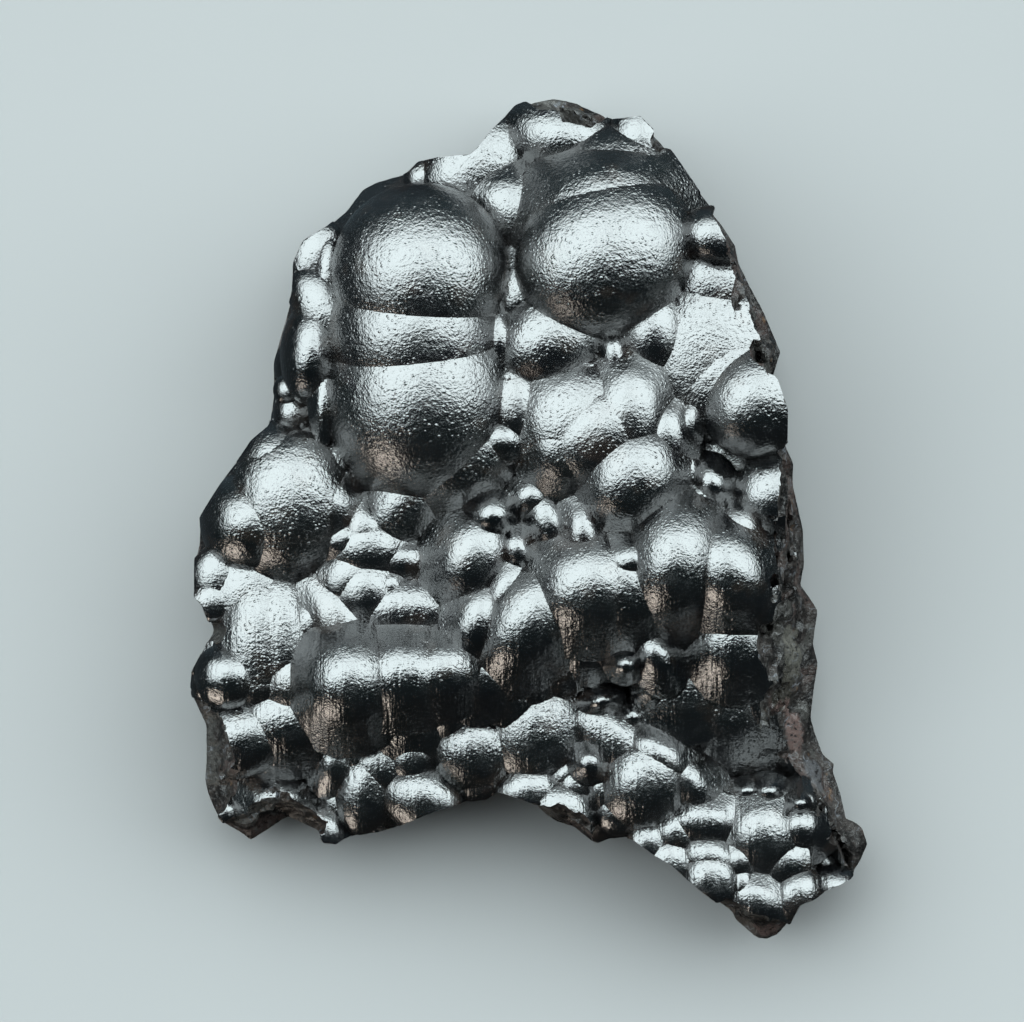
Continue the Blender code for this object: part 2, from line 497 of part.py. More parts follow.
def make_back_hollows():
    """Shallow bowls along the back, left out where the specimen rests on its flat."""
    mesh = bmesh.new()
    for column in range(-HOLLOW_COLUMNS, HOLLOW_COLUMNS + 1):
        for row in range(-HOLLOW_ROWS, HOLLOW_ROWS + 1):
            x = (column + HOLLOW_SHIFT * scatter(column, row)) * HOLLOW_SPACING
            y = (row + column % 2 / 2 + HOLLOW_SHIFT * scatter(column, row, 1)) * HOLLOW_SPACING
            if math.hypot(x - REST_FLAT[0], y - REST_FLAT[1]) < REST_FLAT_RADIUS:
                continue
            wide = HOLLOW_RADIUS * (SMALLEST_HOLLOW + HOLLOW_RANGE * scatter(column, row, 2))
            deep = HOLLOW_DEPTH * (SHALLOWEST + scatter(column, row, 3))
            turn = 180 * scatter(column, row, 4)
            add_ellipsoid(
                mesh, x, y, -HOLLOW_START, wide, wide * HOLLOW_NARROW, deep + HOLLOW_START, turn
            )
    hollows = finish_mesh(mesh, "back_hollows")
    fuse(hollows, HOLLOW_GRAIN, HOLLOW_FACE_SHARE)
    return as_helper(hollows)


def add_boolean(obj, operation, other):
    modifier = obj.modifiers.new(operation.title(), "BOOLEAN")
    modifier.operation = operation
    modifier.solver = "MANIFOLD"
    modifier.object = other


def fuse(obj, grain, face_share):
    """Makes the overlapping ellipsoids one closed skin, with larger faces where it is smooth."""
    skin = obj.modifiers.new("Fuse", "REMESH")
    skin.mode = "VOXEL"
    skin.voxel_size = grain * MM
    skin.adaptivity = 0.0
    fewer = obj.modifiers.new("Fewer faces", "DECIMATE")
    fewer.ratio = face_share


def dark_metal():
    material = bpy.data.materials.new("dark_metal")
    material.use_nodes = True
    shader = material.node_tree.nodes["Principled BSDF"]
    shader.inputs["Base Color"].default_value = DARK_METAL
    shader.inputs["Metallic"].default_value = DARK_METAL_METALLIC
    shader.inputs["Roughness"].default_value = DARK_METAL_ROUGHNESS
    material.diffuse_color = DARK_METAL
    return material


def make_goethite():
    goethite = make_growth()
    fuse(goethite, GRAIN, GROWN_FACE_SHARE)
    add_boolean(goethite, "INTERSECT", make_broken_block())
    add_boolean(goethite, "DIFFERENCE", make_back_hollows())
    goethite.data.materials.append(dark_metal())
    goethite.data.shade_smooth()
    goethite.data.set_sharp_from_angle(angle=math.radians(SHARP_FROM))
    return goethite


clear_scene()
make_goethite()
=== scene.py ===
"""The looks of the goethite specimen: its domed skin, its broken rim and its rough back.

The specimen lies on its back on a pale floor, and the camera looks straight down on the domed side.
Lengths are in millimetres up to the last step, which puts the mesh into metres.
"""

import math

import bmesh
import bpy
import numpy as np
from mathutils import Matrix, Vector


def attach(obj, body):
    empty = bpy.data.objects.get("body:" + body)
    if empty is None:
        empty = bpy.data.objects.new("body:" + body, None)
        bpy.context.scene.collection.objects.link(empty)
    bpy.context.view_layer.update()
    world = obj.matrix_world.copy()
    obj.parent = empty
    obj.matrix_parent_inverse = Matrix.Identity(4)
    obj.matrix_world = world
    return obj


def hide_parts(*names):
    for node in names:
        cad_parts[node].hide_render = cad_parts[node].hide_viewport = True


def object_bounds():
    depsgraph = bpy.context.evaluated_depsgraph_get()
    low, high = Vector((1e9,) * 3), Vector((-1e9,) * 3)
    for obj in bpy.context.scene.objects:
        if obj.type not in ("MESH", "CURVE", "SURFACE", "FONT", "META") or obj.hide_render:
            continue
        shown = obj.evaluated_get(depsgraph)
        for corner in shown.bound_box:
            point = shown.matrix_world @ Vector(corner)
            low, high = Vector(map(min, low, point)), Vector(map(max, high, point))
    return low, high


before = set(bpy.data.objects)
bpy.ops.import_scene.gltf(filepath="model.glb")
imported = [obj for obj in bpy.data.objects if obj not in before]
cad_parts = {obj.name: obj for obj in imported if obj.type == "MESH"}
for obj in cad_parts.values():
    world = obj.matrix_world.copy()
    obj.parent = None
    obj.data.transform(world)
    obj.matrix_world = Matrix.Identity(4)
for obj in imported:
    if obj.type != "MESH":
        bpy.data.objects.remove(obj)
cad_low, cad_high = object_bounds()

MM = 0.001

# Driving dimensions, as in the solid
WAIST_HEIGHT = 5.0  # where the outline is widest
SLAB_HEIGHT = 7.0  # the plain rock under the lowest domes
FOOT_INSET = 1.5  # how far the foot is drawn in from the waist
ROOT_SHARE = 0.88  # the width of the rock under a dome without a skirt, against the dome's
SMALL_BROW = 0.66  # how far out, of its half width, a small dome turns into a skirt
LARGE_BROW = 0.92
BROW_FROM = 2.5
BROW_GROWTH = 0.06
SKIRT_END = 1.35
SKIRT_CLEARANCE = 1.25  # nearer than this to an edge that the skin wraps round, no skirt

# The outline as seen from above: x, y, and how far inside it the skin of domes ends. A skin that
# ends more than BROKEN_FROM inside it leaves a broken face; elsewhere domes wrap round the edge.
BROKEN_FROM = 0.5
OUTLINE = [
    (-2.1, 32.1, 0.2), (-1.1, 33.2, 0.3), (0.5, 33.7, 0.6), (2.1, 34, 1.1), (3.7, 33.7, 1.3),
    (6.1, 32.6, 0.8), (6.6, 32, 0.2), (8.9, 32.2, 0.2), (10.6, 30.5, 0.6), (11.7, 29.1, 0.4),
    (13.7, 26.2, 0.3), (15.6, 23.8, 0.6), (16.7, 22.1, 0.8), (17, 20.6, 0.5), (18.2, 18.3, 1),
    (19.1, 16.6, 1.1), (19.7, 15.1, 1.3), (20.4, 13.5, 1.9), (19.7, 11.3, 0.5), (20.6, 8.7, 0.2),
    (20.6, 6.3, 0.4), (21.4, 4.6, 1), (21.4, 2.7, 0.8), (22.2, -0.9, 1.6), (22.3, -3.7, 1.9),
    (22, -5.3, 1.6), (23.4, -7.4, 2.7), (23, -10.1, 3.2), (23.4, -11.7, 3.4), (23.1, -13.7, 3),
    (22.8, -16.2, 2.6), (23.3, -17.7, 2.4), (23.8, -19, 2.2), (24.7, -19.8, 1.9),
    (24.6, -20.4, 1.8),
    (25.2, -22.1, 1.4), (25.7, -24.2, 1), (26.4, -24.5, 1.3), (27, -25, 1.4), (27.4, -26.3, 1.6),
    (26.9, -27.5, 1), (26, -29, 0.2), (25, -29.5, 0.2), (23.8, -30, 0.2), (22.9, -30.6, 0.2),
    (21.8, -31, 0.2), (21, -32.6, 0.4), (20.2, -33.6, 1), (19.3, -34, 1.1), (18.4, -33.9, 1.2),
    (17.6, -33.2, 1.1), (16.7, -32.4, 1), (16.4, -31.8, 0.9), (15.8, -31.3, 0.7),
    (14.7, -30.6, 0.3),
    (13.8, -29.9, 0.2), (12.5, -28.8, 0.2), (11.4, -27.8, 0.2), (10, -27, 0.2), (8.9, -26.2, 0.2),
    (8.1, -25.7, 0.2), (6.4, -25.8, 0.2), (5.6, -26.2, 0.2), (5, -26, 0.5), (3.6, -24.9, 0.6),
    (2.3, -24.5, 0.8), (1.5, -24, 0.8), (0.9, -23.5, 0.7), (0.5, -23, 0.4), (-0.2, -22.7, 0.2),
    (-1.3, -22.3, 0.2), (-2.5, -22, 0.2), (-3.4, -22.6, 0.2), (-5.1, -22.8, 0.2),
    (-7.5, -23.5, 0.2),
    (-9.2, -24.2, 0.2), (-10.8, -24.9, 0.2), (-12.2, -25.3, 0.2), (-13.8, -25.5, 0.2),
    (-14.7, -25.7, 0.2), (-15.5, -26.2, 0.2), (-16.6, -26.1, 0.2), (-17.1, -25.2, 0.6),
    (-18.6, -24.5, 1.4), (-19.5, -24.1, 1.3), (-20.6, -24.8, 1.8), (-21.7, -25.5, 1.8),
    (-22.5, -26, 1.6), (-23.1, -25.5, 1.1), (-24.5, -24.7, 0.5), (-25.2, -23.9, 0.5),
    (-25.6, -23.1, 1), (-26, -22.1, 1.8), (-26.2, -21, 2.2), (-26.1, -19.6, 2), (-26.1, -18, 1.8),
    (-26.1, -16.7, 1.4), (-27.3, -14.1, 0.3), (-27.1, -12.2, 0.2), (-26.2, -10.5, 0.4),
    (-25.5, -9, 0.6), (-26.3, -6.9, 0.2), (-26.9, -6.3, 0.2), (-26.9, -5.3, 0.2),
    (-26.9, -3.3, 0.2),
    (-26.6, -2.1, 0.2), (-26.5, 0.1, 0.2), (-24.6, 3.1, 0.2), (-22.9, 5.4, 0.2), (-22.3, 6.3, 0.2),
    (-20.9, 7.5, 0.2), (-20.6, 9.9, 0.2), (-20.6, 12.7, 0.2), (-19.8, 15.5, 0.2), (-19, 18.2, 0.2),
    (-18.9, 20.6, 0.2), (-18.1, 22.3, 0.2), (-16.3, 23.4, 0.2), (-14.7, 24.7, 0.2),
    (-13.4, 26.5, 0.2), (-12.3, 27.1, 0.2), (-9.8, 27.8, 0.2), (-8.9, 28.7, 0.2), (-7.3, 29, 0.2),
    (-4.7, 29.2, 0.2), (-3.9, 30, 0.2), (-3.1, 31.1, 0.2),
]

# What grew: x, y, half widths, turn in degrees, height of the top and half height
MOUNDS = [
    (5, 23.19, 12.39, 10.46, 2, 16.69, 13.61), (-7.88, 17.54, 12.19, 11.63, 2, 16.01, 12.74),
    (5.61, 7.12, 13.33, 12.36, 1, 17.02, 13.72), (16.03, 5.47, 8.63, 12.72, 1, 15.56, 11.95),
    (-18.36, 1.41, 9.92, 9.19, 0, 11.48, 9.06), (9.78, -5.7, 13.14, 4.67, 0, 16.37, 10),
    (-8.85, -8.77, 10.82, 6.76, -1, 12.62, 8.96), (8.84, -16.1, 15.59, 7.56, -3, 8.49, 6.85),
    (-14.18, -21.63, 13.14, 6.52, -3, 8.46, 7.08), (5.62, -21.59, 10.37, 5.37, 1, 9.46, 6.9),
    (18.44, -27.2, 8.7, 6.84, 0, 8.43, 7.16), (-21.59, -11.39, 7.76, 8.71, 0, 11, 9.21),
]

DOMES = [
    # the column of three big domes
    (-8.62, 19.67, 7.21, 7.26, -3, 22.94, 7.25), (-8.97, 15.03, 6.98, 6.93, 1, 22.08, 6.92),
    (-8.53, 10.15, 7.99, 8.95, -4, 21.8, 8.86), (-5.31, 5.82, 5.69, 4.7, 27, 18.66, 4.48),
    (-9.78, 1.77, 3.67, 5.41, -33, 16.04, 4.73), (-15.87, 4.32, 2.87, 2.64, -2, 15.14, 3.3),
    # small domes between the big ones
    (-0.93, 9.05, 2.39, 3.15, 19, 18.5, 1.67), (-2.32, 6.31, 1.98, 1.58, 3, 18.37, 1.4),
    (-3.3, 4.39, 1.29, 1.45, 0, 17.48, 1.39), (-1.59, 11.2, 0.95, 0.97, -7, 18.08, 1.22),
    # upper left edge
    (-16.9, 21.15, 2.29, 2.94, -17, 15.27, 1.66), (-17.94, 19.83, 1.08, 1.17, 4, 13.67, 1.12),
    (-16.17, 16.53, 4.32, 2.6, -60, 16.48, 2.66), (-16.1, 19.79, 1.25, 3.07, -2, 15.79, 1.71),
    (-17.37, 13.48, 2.6, 4.38, -5, 16.96, 3.92), (-19.28, 10.35, 1.3, 1.34, 2, 12.68, 1.27),
    (-18.78, 8.54, 1.84, 1.9, -3, 12.42, 1.91), (-16.39, 9.46, 1.01, 2.66, -1, 16.11, 1.46),
    # left lobe
    (-18.97, 1.7, 4.97, 5.49, -9, 17.06, 3.68), (-22.4, -0.26, 4.08, 4.18, 3, 16.45, 5.3),
    (-16.52, 1.16, 3.28, 3.75, -15, 16.23, 3.14), (-19.03, -0.06, 5.08, 4.84, 8, 16.51, 4.56),
    (-20, 3.68, 3.44, 4.32, 12, 16.1, 3.84), (-14.64, 1.88, 0.99, 0.99, 0, 14.84, 0.95),
    (-24.76, -4.6, 2.48, 2.73, 0, 13.05, 1.65), (-25.36, -6.66, 1.8, 1.7, -3, 13.12, 1),
    (-22.13, -5.94, 3.12, 3.42, 6, 13.52, 1.46), (-21.62, -9.88, 3.83, 6.62, -3, 14.45, 3.79),
    (-19.88, -9.58, 3.22, 6.39, 2, 14.46, 3.77), (-24.09, -12.69, 2.94, 2.77, -21, 14.59, 3.13),
    (-25.61, -13.12, 1.64, 1.68, -2, 12.8, 1.72), (-18.72, -13.02, 2.68, 2.95, 6, 14.54, 2.3),
    (-17.27, -8.28, 2.13, 2.04, -4, 14.06, 1.68), (-23.23, -8.12, 1.59, 1.37, 2, 13.35, 1.49),
    (-26.08, -11.92, 1.44, 1.12, 0, 12.6, 1.4), (-21.76, -13.17, 2.66, 2, 3, 13.89, 1.8),
    (-18.08, -11.28, 1.12, 2.08, 0, 13.6, 1.4),
    # middle left
    (-13.19, -0.87, 1.93, 2.45, 8, 15.37, 1.7), (-14.91, -1.58, 1.85, 1.65, -1, 15.32, 1.46),
    (-12.91, -2.25, 2.91, 2.53, -2, 15.58, 1.94), (-10.38, -3.32, 2.87, 1.81, -5, 14.95, 1.83),
    (-14.14, -4.7, 2.92, 3.04, -10, 15.13, 2.33), (-13.05, -5.71, 2.38, 2.59, 19, 15.47, 1.7),
    (-11.04, -5.38, 1.07, 1.25, 6, 15.01, 1.06), (-15.08, -8.37, 4.01, 2.28, -61, 15.06, 2.16),
    (-9.89, -7.15, 4.91, 3.06, 0, 15.49, 3.46),
    # the centre
    (-2.91, 0.32, 2.59, 2.49, 4, 18.22, 5.06), (-4.42, -2.93, 3.38, 4.25, -24, 17.97, 3.86),
    (-0.92, -2.41, 1.43, 1.86, 18, 17.49, 2.01), (-1.72, -5.71, 1.64, 2.46, -18, 17.48, 1.62),
    (-4.07, -8.09, 2.33, 3.35, -16, 17.73, 2.89), (0.22, -7.89, 3.79, 5.44, -35, 19.22, 4.5),
    # the long ridge
    (4.97, -5.35, 4.75, 4.49, 17, 20.76, 4.53), (7.67, -5.24, 4.61, 4.27, 12, 20.3, 4.12),
    (11.73, -3.24, 4.5, 5.75, -9, 22.16, 6.66), (15.91, -4.08, 3.75, 4.65, 28, 21.58, 4.97),
    (18.28, -5.38, 2.7, 4.22, 2, 19.27, 3.95), (8.2, -3.36, 2.61, 2.03, 2, 20.36, 2.72),
    # upper right
    (6.13, 21.14, 6.58, 7.57, -60, 23.15, 6.13), (5.86, 24.21, 6, 5.02, 23, 21.45, 4.95),
    (6.61, 26.9, 5.76, 4.81, 11, 18.53, 4.7), (14.98, 22.48, 3.11, 2.46, -20, 20.87, 2.61),
    (15.24, 18.74, 4.67, 3.63, -20, 18.73, 2.5), (15.04, 13.39, 6.45, 7.6, 16, 19.29, 4.06),
    (16.7, 11.39, 5.94, 4.87, 1, 19.56, 3.62), (18.28, 9.5, 4.32, 4.9, -37, 21.52, 4.5),
    (9.91, 15.15, 3.18, 4.29, 2, 19.44, 3.9), (6.78, 13.2, 1.23, 2.11, 7, 18.82, 1.79),
    (1.7, 14.49, 5.16, 4.43, 31, 19.75, 4.81), (-0.71, 17.91, 2.76, 3.07, -4, 17.88, 2.39),
    (-2.41, 14.44, 1.61, 2.62, 8, 18.42, 2.08), (4.63, 7.58, 5.6, 4.88, -21, 20.19, 3.26),
    (7.94, 8.6, 3.26, 4.58, -4, 20.62, 3.3), (5.8, 7.04, 5.38, 4.25, 30, 20.68, 3.99),
    (3.03, 6.19, 3.49, 4.17, 3, 19.79, 3.44), (8.29, 3.5, 4.34, 4.94, -26, 21.11, 4.76),
    (4.31, -1.11, 1.73, 2.88, 7, 19.05, 2.46), (10.86, 6.76, 2.31, 3.17, -5, 19.54, 2.8),
    (12.77, 7.66, 1.19, 2.01, -13, 18.62, 1.55), (14.58, 2.91, 1.64, 1.94, 21, 18.26, 2.46),
    (12.82, 3.83, 0.82, 1.8, -5, 17.73, 1.27), (13.52, 1.48, 1.1, 1.21, -6, 17.93, 1.1),
    (19.8, 1.97, 3.76, 3.75, -1, 19.15, 3.88), (16.71, -0.89, 2.5, 2.95, -8, 19.06, 4.02),
    (18.83, -2.85, 1.96, 2.17, 2, 17.52, 2.06), (0.18, 1.8, 1.63, 1.61, 1, 17.36, 1.71),
    (1.6, -0.23, 1.82, 2.95, 24, 17.58, 2.42), (3.02, -2.75, 2.48, 2.39, 1, 17.59, 2.3),
    (-2.69, 18.17, 0.92, 2.16, 2, 18.36, 1.41), (6.64, 13.36, 0.96, 0.96, 0, 17.6, 1.2),
    (4.42, 11.75, 1.72, 1.16, 23, 18.37, 1.45),
    # top edge
    (2.91, 30.65, 5.63, 4, -13, 16.8, 5.97), (-4.12, 28.29, 5.17, 3.98, 42, 15.25, 3.07),
    (-8.37, 27.39, 1.78, 1.76, 3, 13.36, 1.83), (-1.11, 24.73, 3.94, 3.28, -47, 16.57, 2.98),
    (8.96, 30.32, 2.58, 3.23, 10, 17.1, 2.38),
    # below the ridge
    (7.68, -11.59, 1.39, 1.36, -4, 17.5, 2.9), (10.11, -10.71, 1.95, 2.9, 22, 17.19, 3.36),
    (16.61, -9.52, 3.66, 4.17, -5, 17.49, 3.47), (13.41, -11.36, 1.07, 1.14, 2, 15.01, 1.16),
    (12.79, -13.07, 3.5, 3.93, -17, 14.31, 2), (15.37, -13.92, 4.57, 5.27, 38, 13.6, 3.98),
    (18.73, -13.42, 3.38, 4.24, -7, 13.47, 3.75), (9.92, -13.6, 1.37, 1.49, -5, 14.43, 1.99),
    (5.79, -14.55, 1.53, 1.11, 15, 14.39, 2.55), (8.33, -15.85, 1.13, 1.15, 2, 12.98, 1.73),
    (18.18, -17.56, 4.68, 3.97, 10, 10.57, 4.94), (-0.19, -12.7, 2.4, 2.36, 4, 14.5, 2.37),
    (-1.75, -13.7, 2.04, 2.3, -2, 14.35, 1.75), (4.32, -10.45, 2.8, 2.29, -9, 15.56, 2.94),
    (16.91, -14.79, 2.7, 2.79, 1, 13.14, 2.68), (19.1, -13.31, 1.75, 2.35, 20, 13.97, 2.99),
    (12.16, -14.48, 2, 2.16, 0, 14, 2.4), (13.97, -17.13, 3.1, 2.14, -30, 11.36, 2.44),
    (17.64, -18.17, 3.1, 1.95, -6, 10.56, 2.71), (22.19, -19.81, 1.55, 1.21, -29, 10.63, 2.73),
    (2.43, -11.67, 2.1, 2.05, -3, 14.56, 2.09),
    # the long rounded log
    (-14.41, -12.88, 4.45, 4.73, -17, 18.94, 6.11), (-10.11, -12.48, 4.18, 3.65, 4, 18.2, 4.07),
    (-7.07, -12.26, 3.87, 3.15, 21, 17.75, 3.75), (-4.06, -12.38, 3.48, 3.13, 6, 16.1, 3.06),
    (-9.31, -15.22, 2.98, 3.29, -14, 13.71, 2.2), (-6.46, -15.91, 1.5, 1.36, -4, 13.5, 1.54),
    # lower skirt, left and middle
    (-23.06, -17.46, 4.41, 3.4, 15, 13.93, 3.97), (-19.41, -16.05, 4.73, 3.73, 7, 13.99, 3.93),
    (-20.08, -22.46, 2.65, 2.13, -8, 11.09, 3.56), (-15.62, -19.45, 1.94, 2.57, -3, 11.6, 2.76),
    (-13.71, -18.85, 1.84, 2, -2, 11.3, 1.86), (-24.47, -23.63, 1.74, 1.7, 1, 9.6, 2.54),
    (-20.54, -23.51, 2.6, 3.16, 7, 11.42, 3.01), (-16.51, -25.15, 2.15, 2.62, 10, 10.3, 2.67),
    (-12.9, -21.1, 2.77, 4.45, -15, 11.54, 2.84), (-11.77, -19.61, 2.62, 2.83, -7, 11.76, 1.91),
    (-8.6, -22.43, 3.72, 2.94, -30, 12.35, 2.89), (-9.32, -18.85, 2.4, 3, -18, 12.29, 2.79),
    (-4.49, -18.27, 4.01, 4, 3, 13.15, 3.9), (-4.11, -20.68, 2.25, 2.14, 3, 11.59, 2.04),
    (0.67, -16.62, 4.3, 4.9, -28, 13.51, 3.5), (6.98, -17.74, 2.94, 5.5, 47, 13.31, 3.51),
    (4.8, -19.56, 1.32, 1.43, 8, 13.75, 1.83), (9.39, -20.84, 4.51, 3.84, 58, 14.4, 4.25),
    (12.49, -20.83, 3.65, 2.3, -45, 13.2, 3.69), (10.39, -19.01, 2.31, 3.4, 48, 14.12, 3.39),
    (0.05, -21.92, 3.13, 2.61, 8, 12.46, 2.69), (2.57, -23.76, 3.03, 3.01, -1, 12.87, 2.47),
    (3.72, -21.34, 1.41, 1.64, -6, 12.2, 1.35), (5.93, -21.64, 1.38, 1.82, 6, 12.37, 1.53),
    (7.26, -23.24, 2.14, 2.29, -12, 12.32, 2), (3.02, -20.54, 1.08, 1.22, -6, 11.91, 0.77),
    # lower skirt, right
    (14.11, -24.29, 2.94, 2.01, -2, 12.73, 1.99), (18.77, -25.35, 3.16, 3.29, 1, 13.15, 2.8),
    (21.8, -24.77, 2.42, 2.56, -3, 12.61, 4), (9.59, -26.11, 1.78, 2.09, -8, 12.25, 1.6),
    (11.38, -27.68, 2.1, 2.26, 5, 12.5, 1.65), (11.81, -25.23, 1.62, 1.94, 10, 12.33, 1.42),
    (14.59, -27.24, 2.7, 2.08, -19, 12.7, 2.24), (14.63, -29.05, 2.35, 2.55, 13, 13.13, 1.76),
    (17.11, -29.4, 0.96, 1.51, 2, 12.46, 1.08), (18.36, -30.63, 2.56, 1.98, -33, 12.82, 1.88),
    (21.59, -30.25, 2.02, 2.49, -30, 12.55, 2.09), (24.47, -29.97, 2.67, 2.19, -10, 9.72, 2.72),
    (20.68, -27.49, 1.5, 1.51, 17, 12.29, 0.97), (16.49, -22.99, 1.76, 1.62, -3, 11.28, 1.88),
    (19.26, -21.89, 1.54, 1.23, 1, 12.28, 2.95), (21.92, -22.77, 1.84, 1.6, 2, 12.36, 3.29),
    (26.27, -24.86, 1.77, 2.46, -3, 10.72, 3.01), (16.87, -27.45, 1.01, 1.22, -2, 12.58, 0.88),
    (17.58, -21.85, 1.25, 0.93, 6, 11.64, 2.18), (15.39, -22.81, 1.1, 0.97, -3, 11.63, 1.39),
    (21.77, -22.83, 1.03, 0.87, 5, 12.92, 1.83),
]

# The domes that carry the skin down the sides, where it wraps round the edge
SIDE_SPACING = 3.4
SIDE_RADIUS = 2.3
SIDE_SMALLEST, SIDE_RANGE = 0.8, 0.5  # of the radius above
SIDE_CENTRE_HEIGHT = 6.4
SIDE_HEIGHT_RANGE = 2.0
SIDE_SUNK = 0.4  # how far a side dome stays below the growth over it
SIDE_CLEARANCE = 0.05

# The rim, and how it is broken
RIM_SPACING = 2.0
STEEPEST = 4.0  # the least height between the waist and the edge of the skin
FOOT_CURVE = 1.5  # the power of the foot's curve
FULLY_CHIPPED = 1.2  # the lean of a fully chipped rim
CHIPPED_RISE = 1.5  # over which height they set in
CHIPPED_FOOT = 2.5  # how fast they set in below the waist
ROUGHEST = 1.6  # the deepest that a chip goes in
CHIP_STEP = 0.35  # the steps between chips, against their size
CHIP_TILT = 1.3
LARGE_CHIP, LARGE_CHIP_DEPTH = 3.2, 0.95
SMALL_CHIP, SMALL_CHIP_DEPTH = 1.3, 0.3
FIBRE, FIBRE_DEPTH = 0.8, 0.1
LAYER, LAYER_WAVE = 1.1, 0.7  # the growth layers in the break
LEDGE_DEPTH = 0.3
WEAR = 0.1  # what every broken place loses

# The hollows in the back, on a loose grid round the flat that it rests on
HOLLOW_SPACING = 9.0
HOLLOW_COLUMNS, HOLLOW_ROWS = 4, 5  # on each side of the middle
HOLLOW_SHIFT = 0.7  # of the spacing
HOLLOW_RADIUS = 5.2
HOLLOW_NARROW = 0.7  # the width of a hollow against its length
HOLLOW_DEPTH = 1.5
HOLLOW_START = 0.4  # how far below the back a bowl's middle lies
SMALLEST_HOLLOW, HOLLOW_RANGE = 0.75, 0.5  # of the radius above
SHALLOWEST = 0.5  # of the depth above
REST_FLAT = (0.5, 1.0)  # the middle of the flat
REST_FLAT_RADIUS = 10.5
BACK_CHIP, BACK_CHIP_DEPTH = 4.2, 0.9
BACK_FIBRE, BACK_FIBRE_DEPTH = 1.0, 0.1
BACK_LEVEL = 0.16  # the rough that stays below this is flat
BACK_GRAIN = np.array([[0.82, 0.57, 0], [-0.57, 0.82, 0], [0, 0, 1]])  # which way its fibres run

# The sampled block
CELL = 0.325
MARGIN = 1.2
FAR = 9.0  # the field where nothing is near
EDGE_CLEARANCE = 0.02  # the looks stay this far inside the solid's box
COARSE_BELOW = 5.0  # the broken sides are sampled half as finely below this
CREASE_SOFTNESS = 0.02  # how firmly a point is held to the middle of its crossings
CREASE_WIDTH = 0.12
HALVINGS = 7  # of an edge, to find where the skin crosses it

# Slight waves in the skin, so that no dome is a perfect ellipsoid
WAVE_DEPTH = 0.02
WAVE_SUNK = 1.45  # of the depth: the waves only go in
BROAD_WAVE, NARROW_WAVE, NARROW_WAVE_SHARE = 2.3, 1.1, 0.45

# The skin: colours, then the size and the depth of each kind of relief
STEEL_DARK = (0.0007, 0.0009, 0.0012, 1)
STEEL_PALE = (0.002, 0.0023, 0.0026, 1)
RUST = (0.008, 0.0054, 0.0042, 1)
FOLD_BROWN = (0.006, 0.004, 0.003, 1)
SKIN_IOR = 2.4
WIDE_FROM, WIDE_TO = 2.6, 6.0  # the radii between which a dome becomes a wide one
DENT, DENT_DEPTH = 0.9, 0.07
DIMPLE, DIMPLE_DEPTH = 0.34, 0.07
GRAIN, GRAIN_DEPTH = 0.17, 0.014
RIB, RIB_DEPTH, RIB_SHORTENED = 0.5, 0.11, (1.0, 0.1, 0.1)
RIBS_FROM, RIBS_FULL = -5.0, -9.0  # ribs run across the logs below the long ridge
SATIN_FROM, SATIN_FULL = -12.0, -24.0  # the lower skirt shines more softly
PIMPLE, PIMPLE_DEPTH = 0.36, 0.036

# The broken rock: colours, and the faces with a tone of their own (middle, reach and tone)
ROCK_DARK = (0.005, 0.0043, 0.004, 1)
ROCK_BROWN = (0.02, 0.0155, 0.0135, 1)
ROCK_RED = (0.036, 0.025, 0.022, 1)
ROCK_GREY = (0.036, 0.034, 0.031, 1)
FIBRE_PALE = (0.062, 0.058, 0.055, 1)
FIBRE_DARK = (0.006, 0.005, 0.0048, 1)
OCHRE = (0.12, 0.065, 0.03, 1)
# painted highlight: the bluish-white of the gleams drawn as thin lines on the broken rock
PAINTED_GLEAM_BLUE = (0.17, 0.18, 0.2, 1)
FIBRE_SHORTENED = (1.0, 1.0, 0.18)
ROCK_TONES = (
    ((21.6, -10.6, 10.0), 1.9, (0.085, 0.08, 0.068, 1)),
    ((21.4, -13.4, 10.0), 1.7, (0.048, 0.044, 0.036, 1)),
    ((22.2, -16.6, 9.0), 2.0, (0.11, 0.072, 0.064, 1)),
    ((23.6, -20.4, 8.0), 1.6, (0.07, 0.07, 0.074, 1)),
    ((19.2, -33.0, 7.0), 1.4, (0.095, 0.062, 0.055, 1)),
)

# The studio
TENT_RADIUS = 190.0
FLOOR_HALF = 2.0  # metres
FLOOR_GREYS = (0.29, 0.29, 0.29, 1), (0.305, 0.305, 0.305, 1)
BOX_LIGHT = (4.3, 4.9, 5.0, 1)
GLINT_TOWARD = (-0.42, -0.56, 0.7)
GLINT_LIGHT = (4.2, 3.7, 3.2, 1)
NEAR_DIM = (0.018, 0.026, 0.03, 1)
FAR_DIM = (0.09, 0.128, 0.147, 1)
STEEP_DIM = (0.034, 0.044, 0.05, 1)
LEFT_DIM = (0.085, 0.105, 0.115, 1)
UNDER_DIM = (0.02, 0.018, 0.016, 1)

# Kinds of surface, beside the numbers of the domes
SLAB, SIDE, BACK = -1, -2, -3

HASH_WEIGHTS = (127.1, 311.7, 74.7, 19.3)
HASH_SCALE = 43758.5453
CUBE = [np.array([corner & 1, corner >> 1 & 1, corner >> 2 & 1]) for corner in range(8)]


def hashed(*keys):
    """A number from 0 to 1 for each place, the same on each run."""
    total = sum(np.asarray(key, np.float64) * weight for key, weight in zip(keys, HASH_WEIGHTS))
    value = np.sin(total) * HASH_SCALE
    return value - np.floor(value)


def unit(rows):
    """Each row as a direction."""
    return rows / np.maximum(np.linalg.norm(rows, axis=1, keepdims=True), 1e-9)


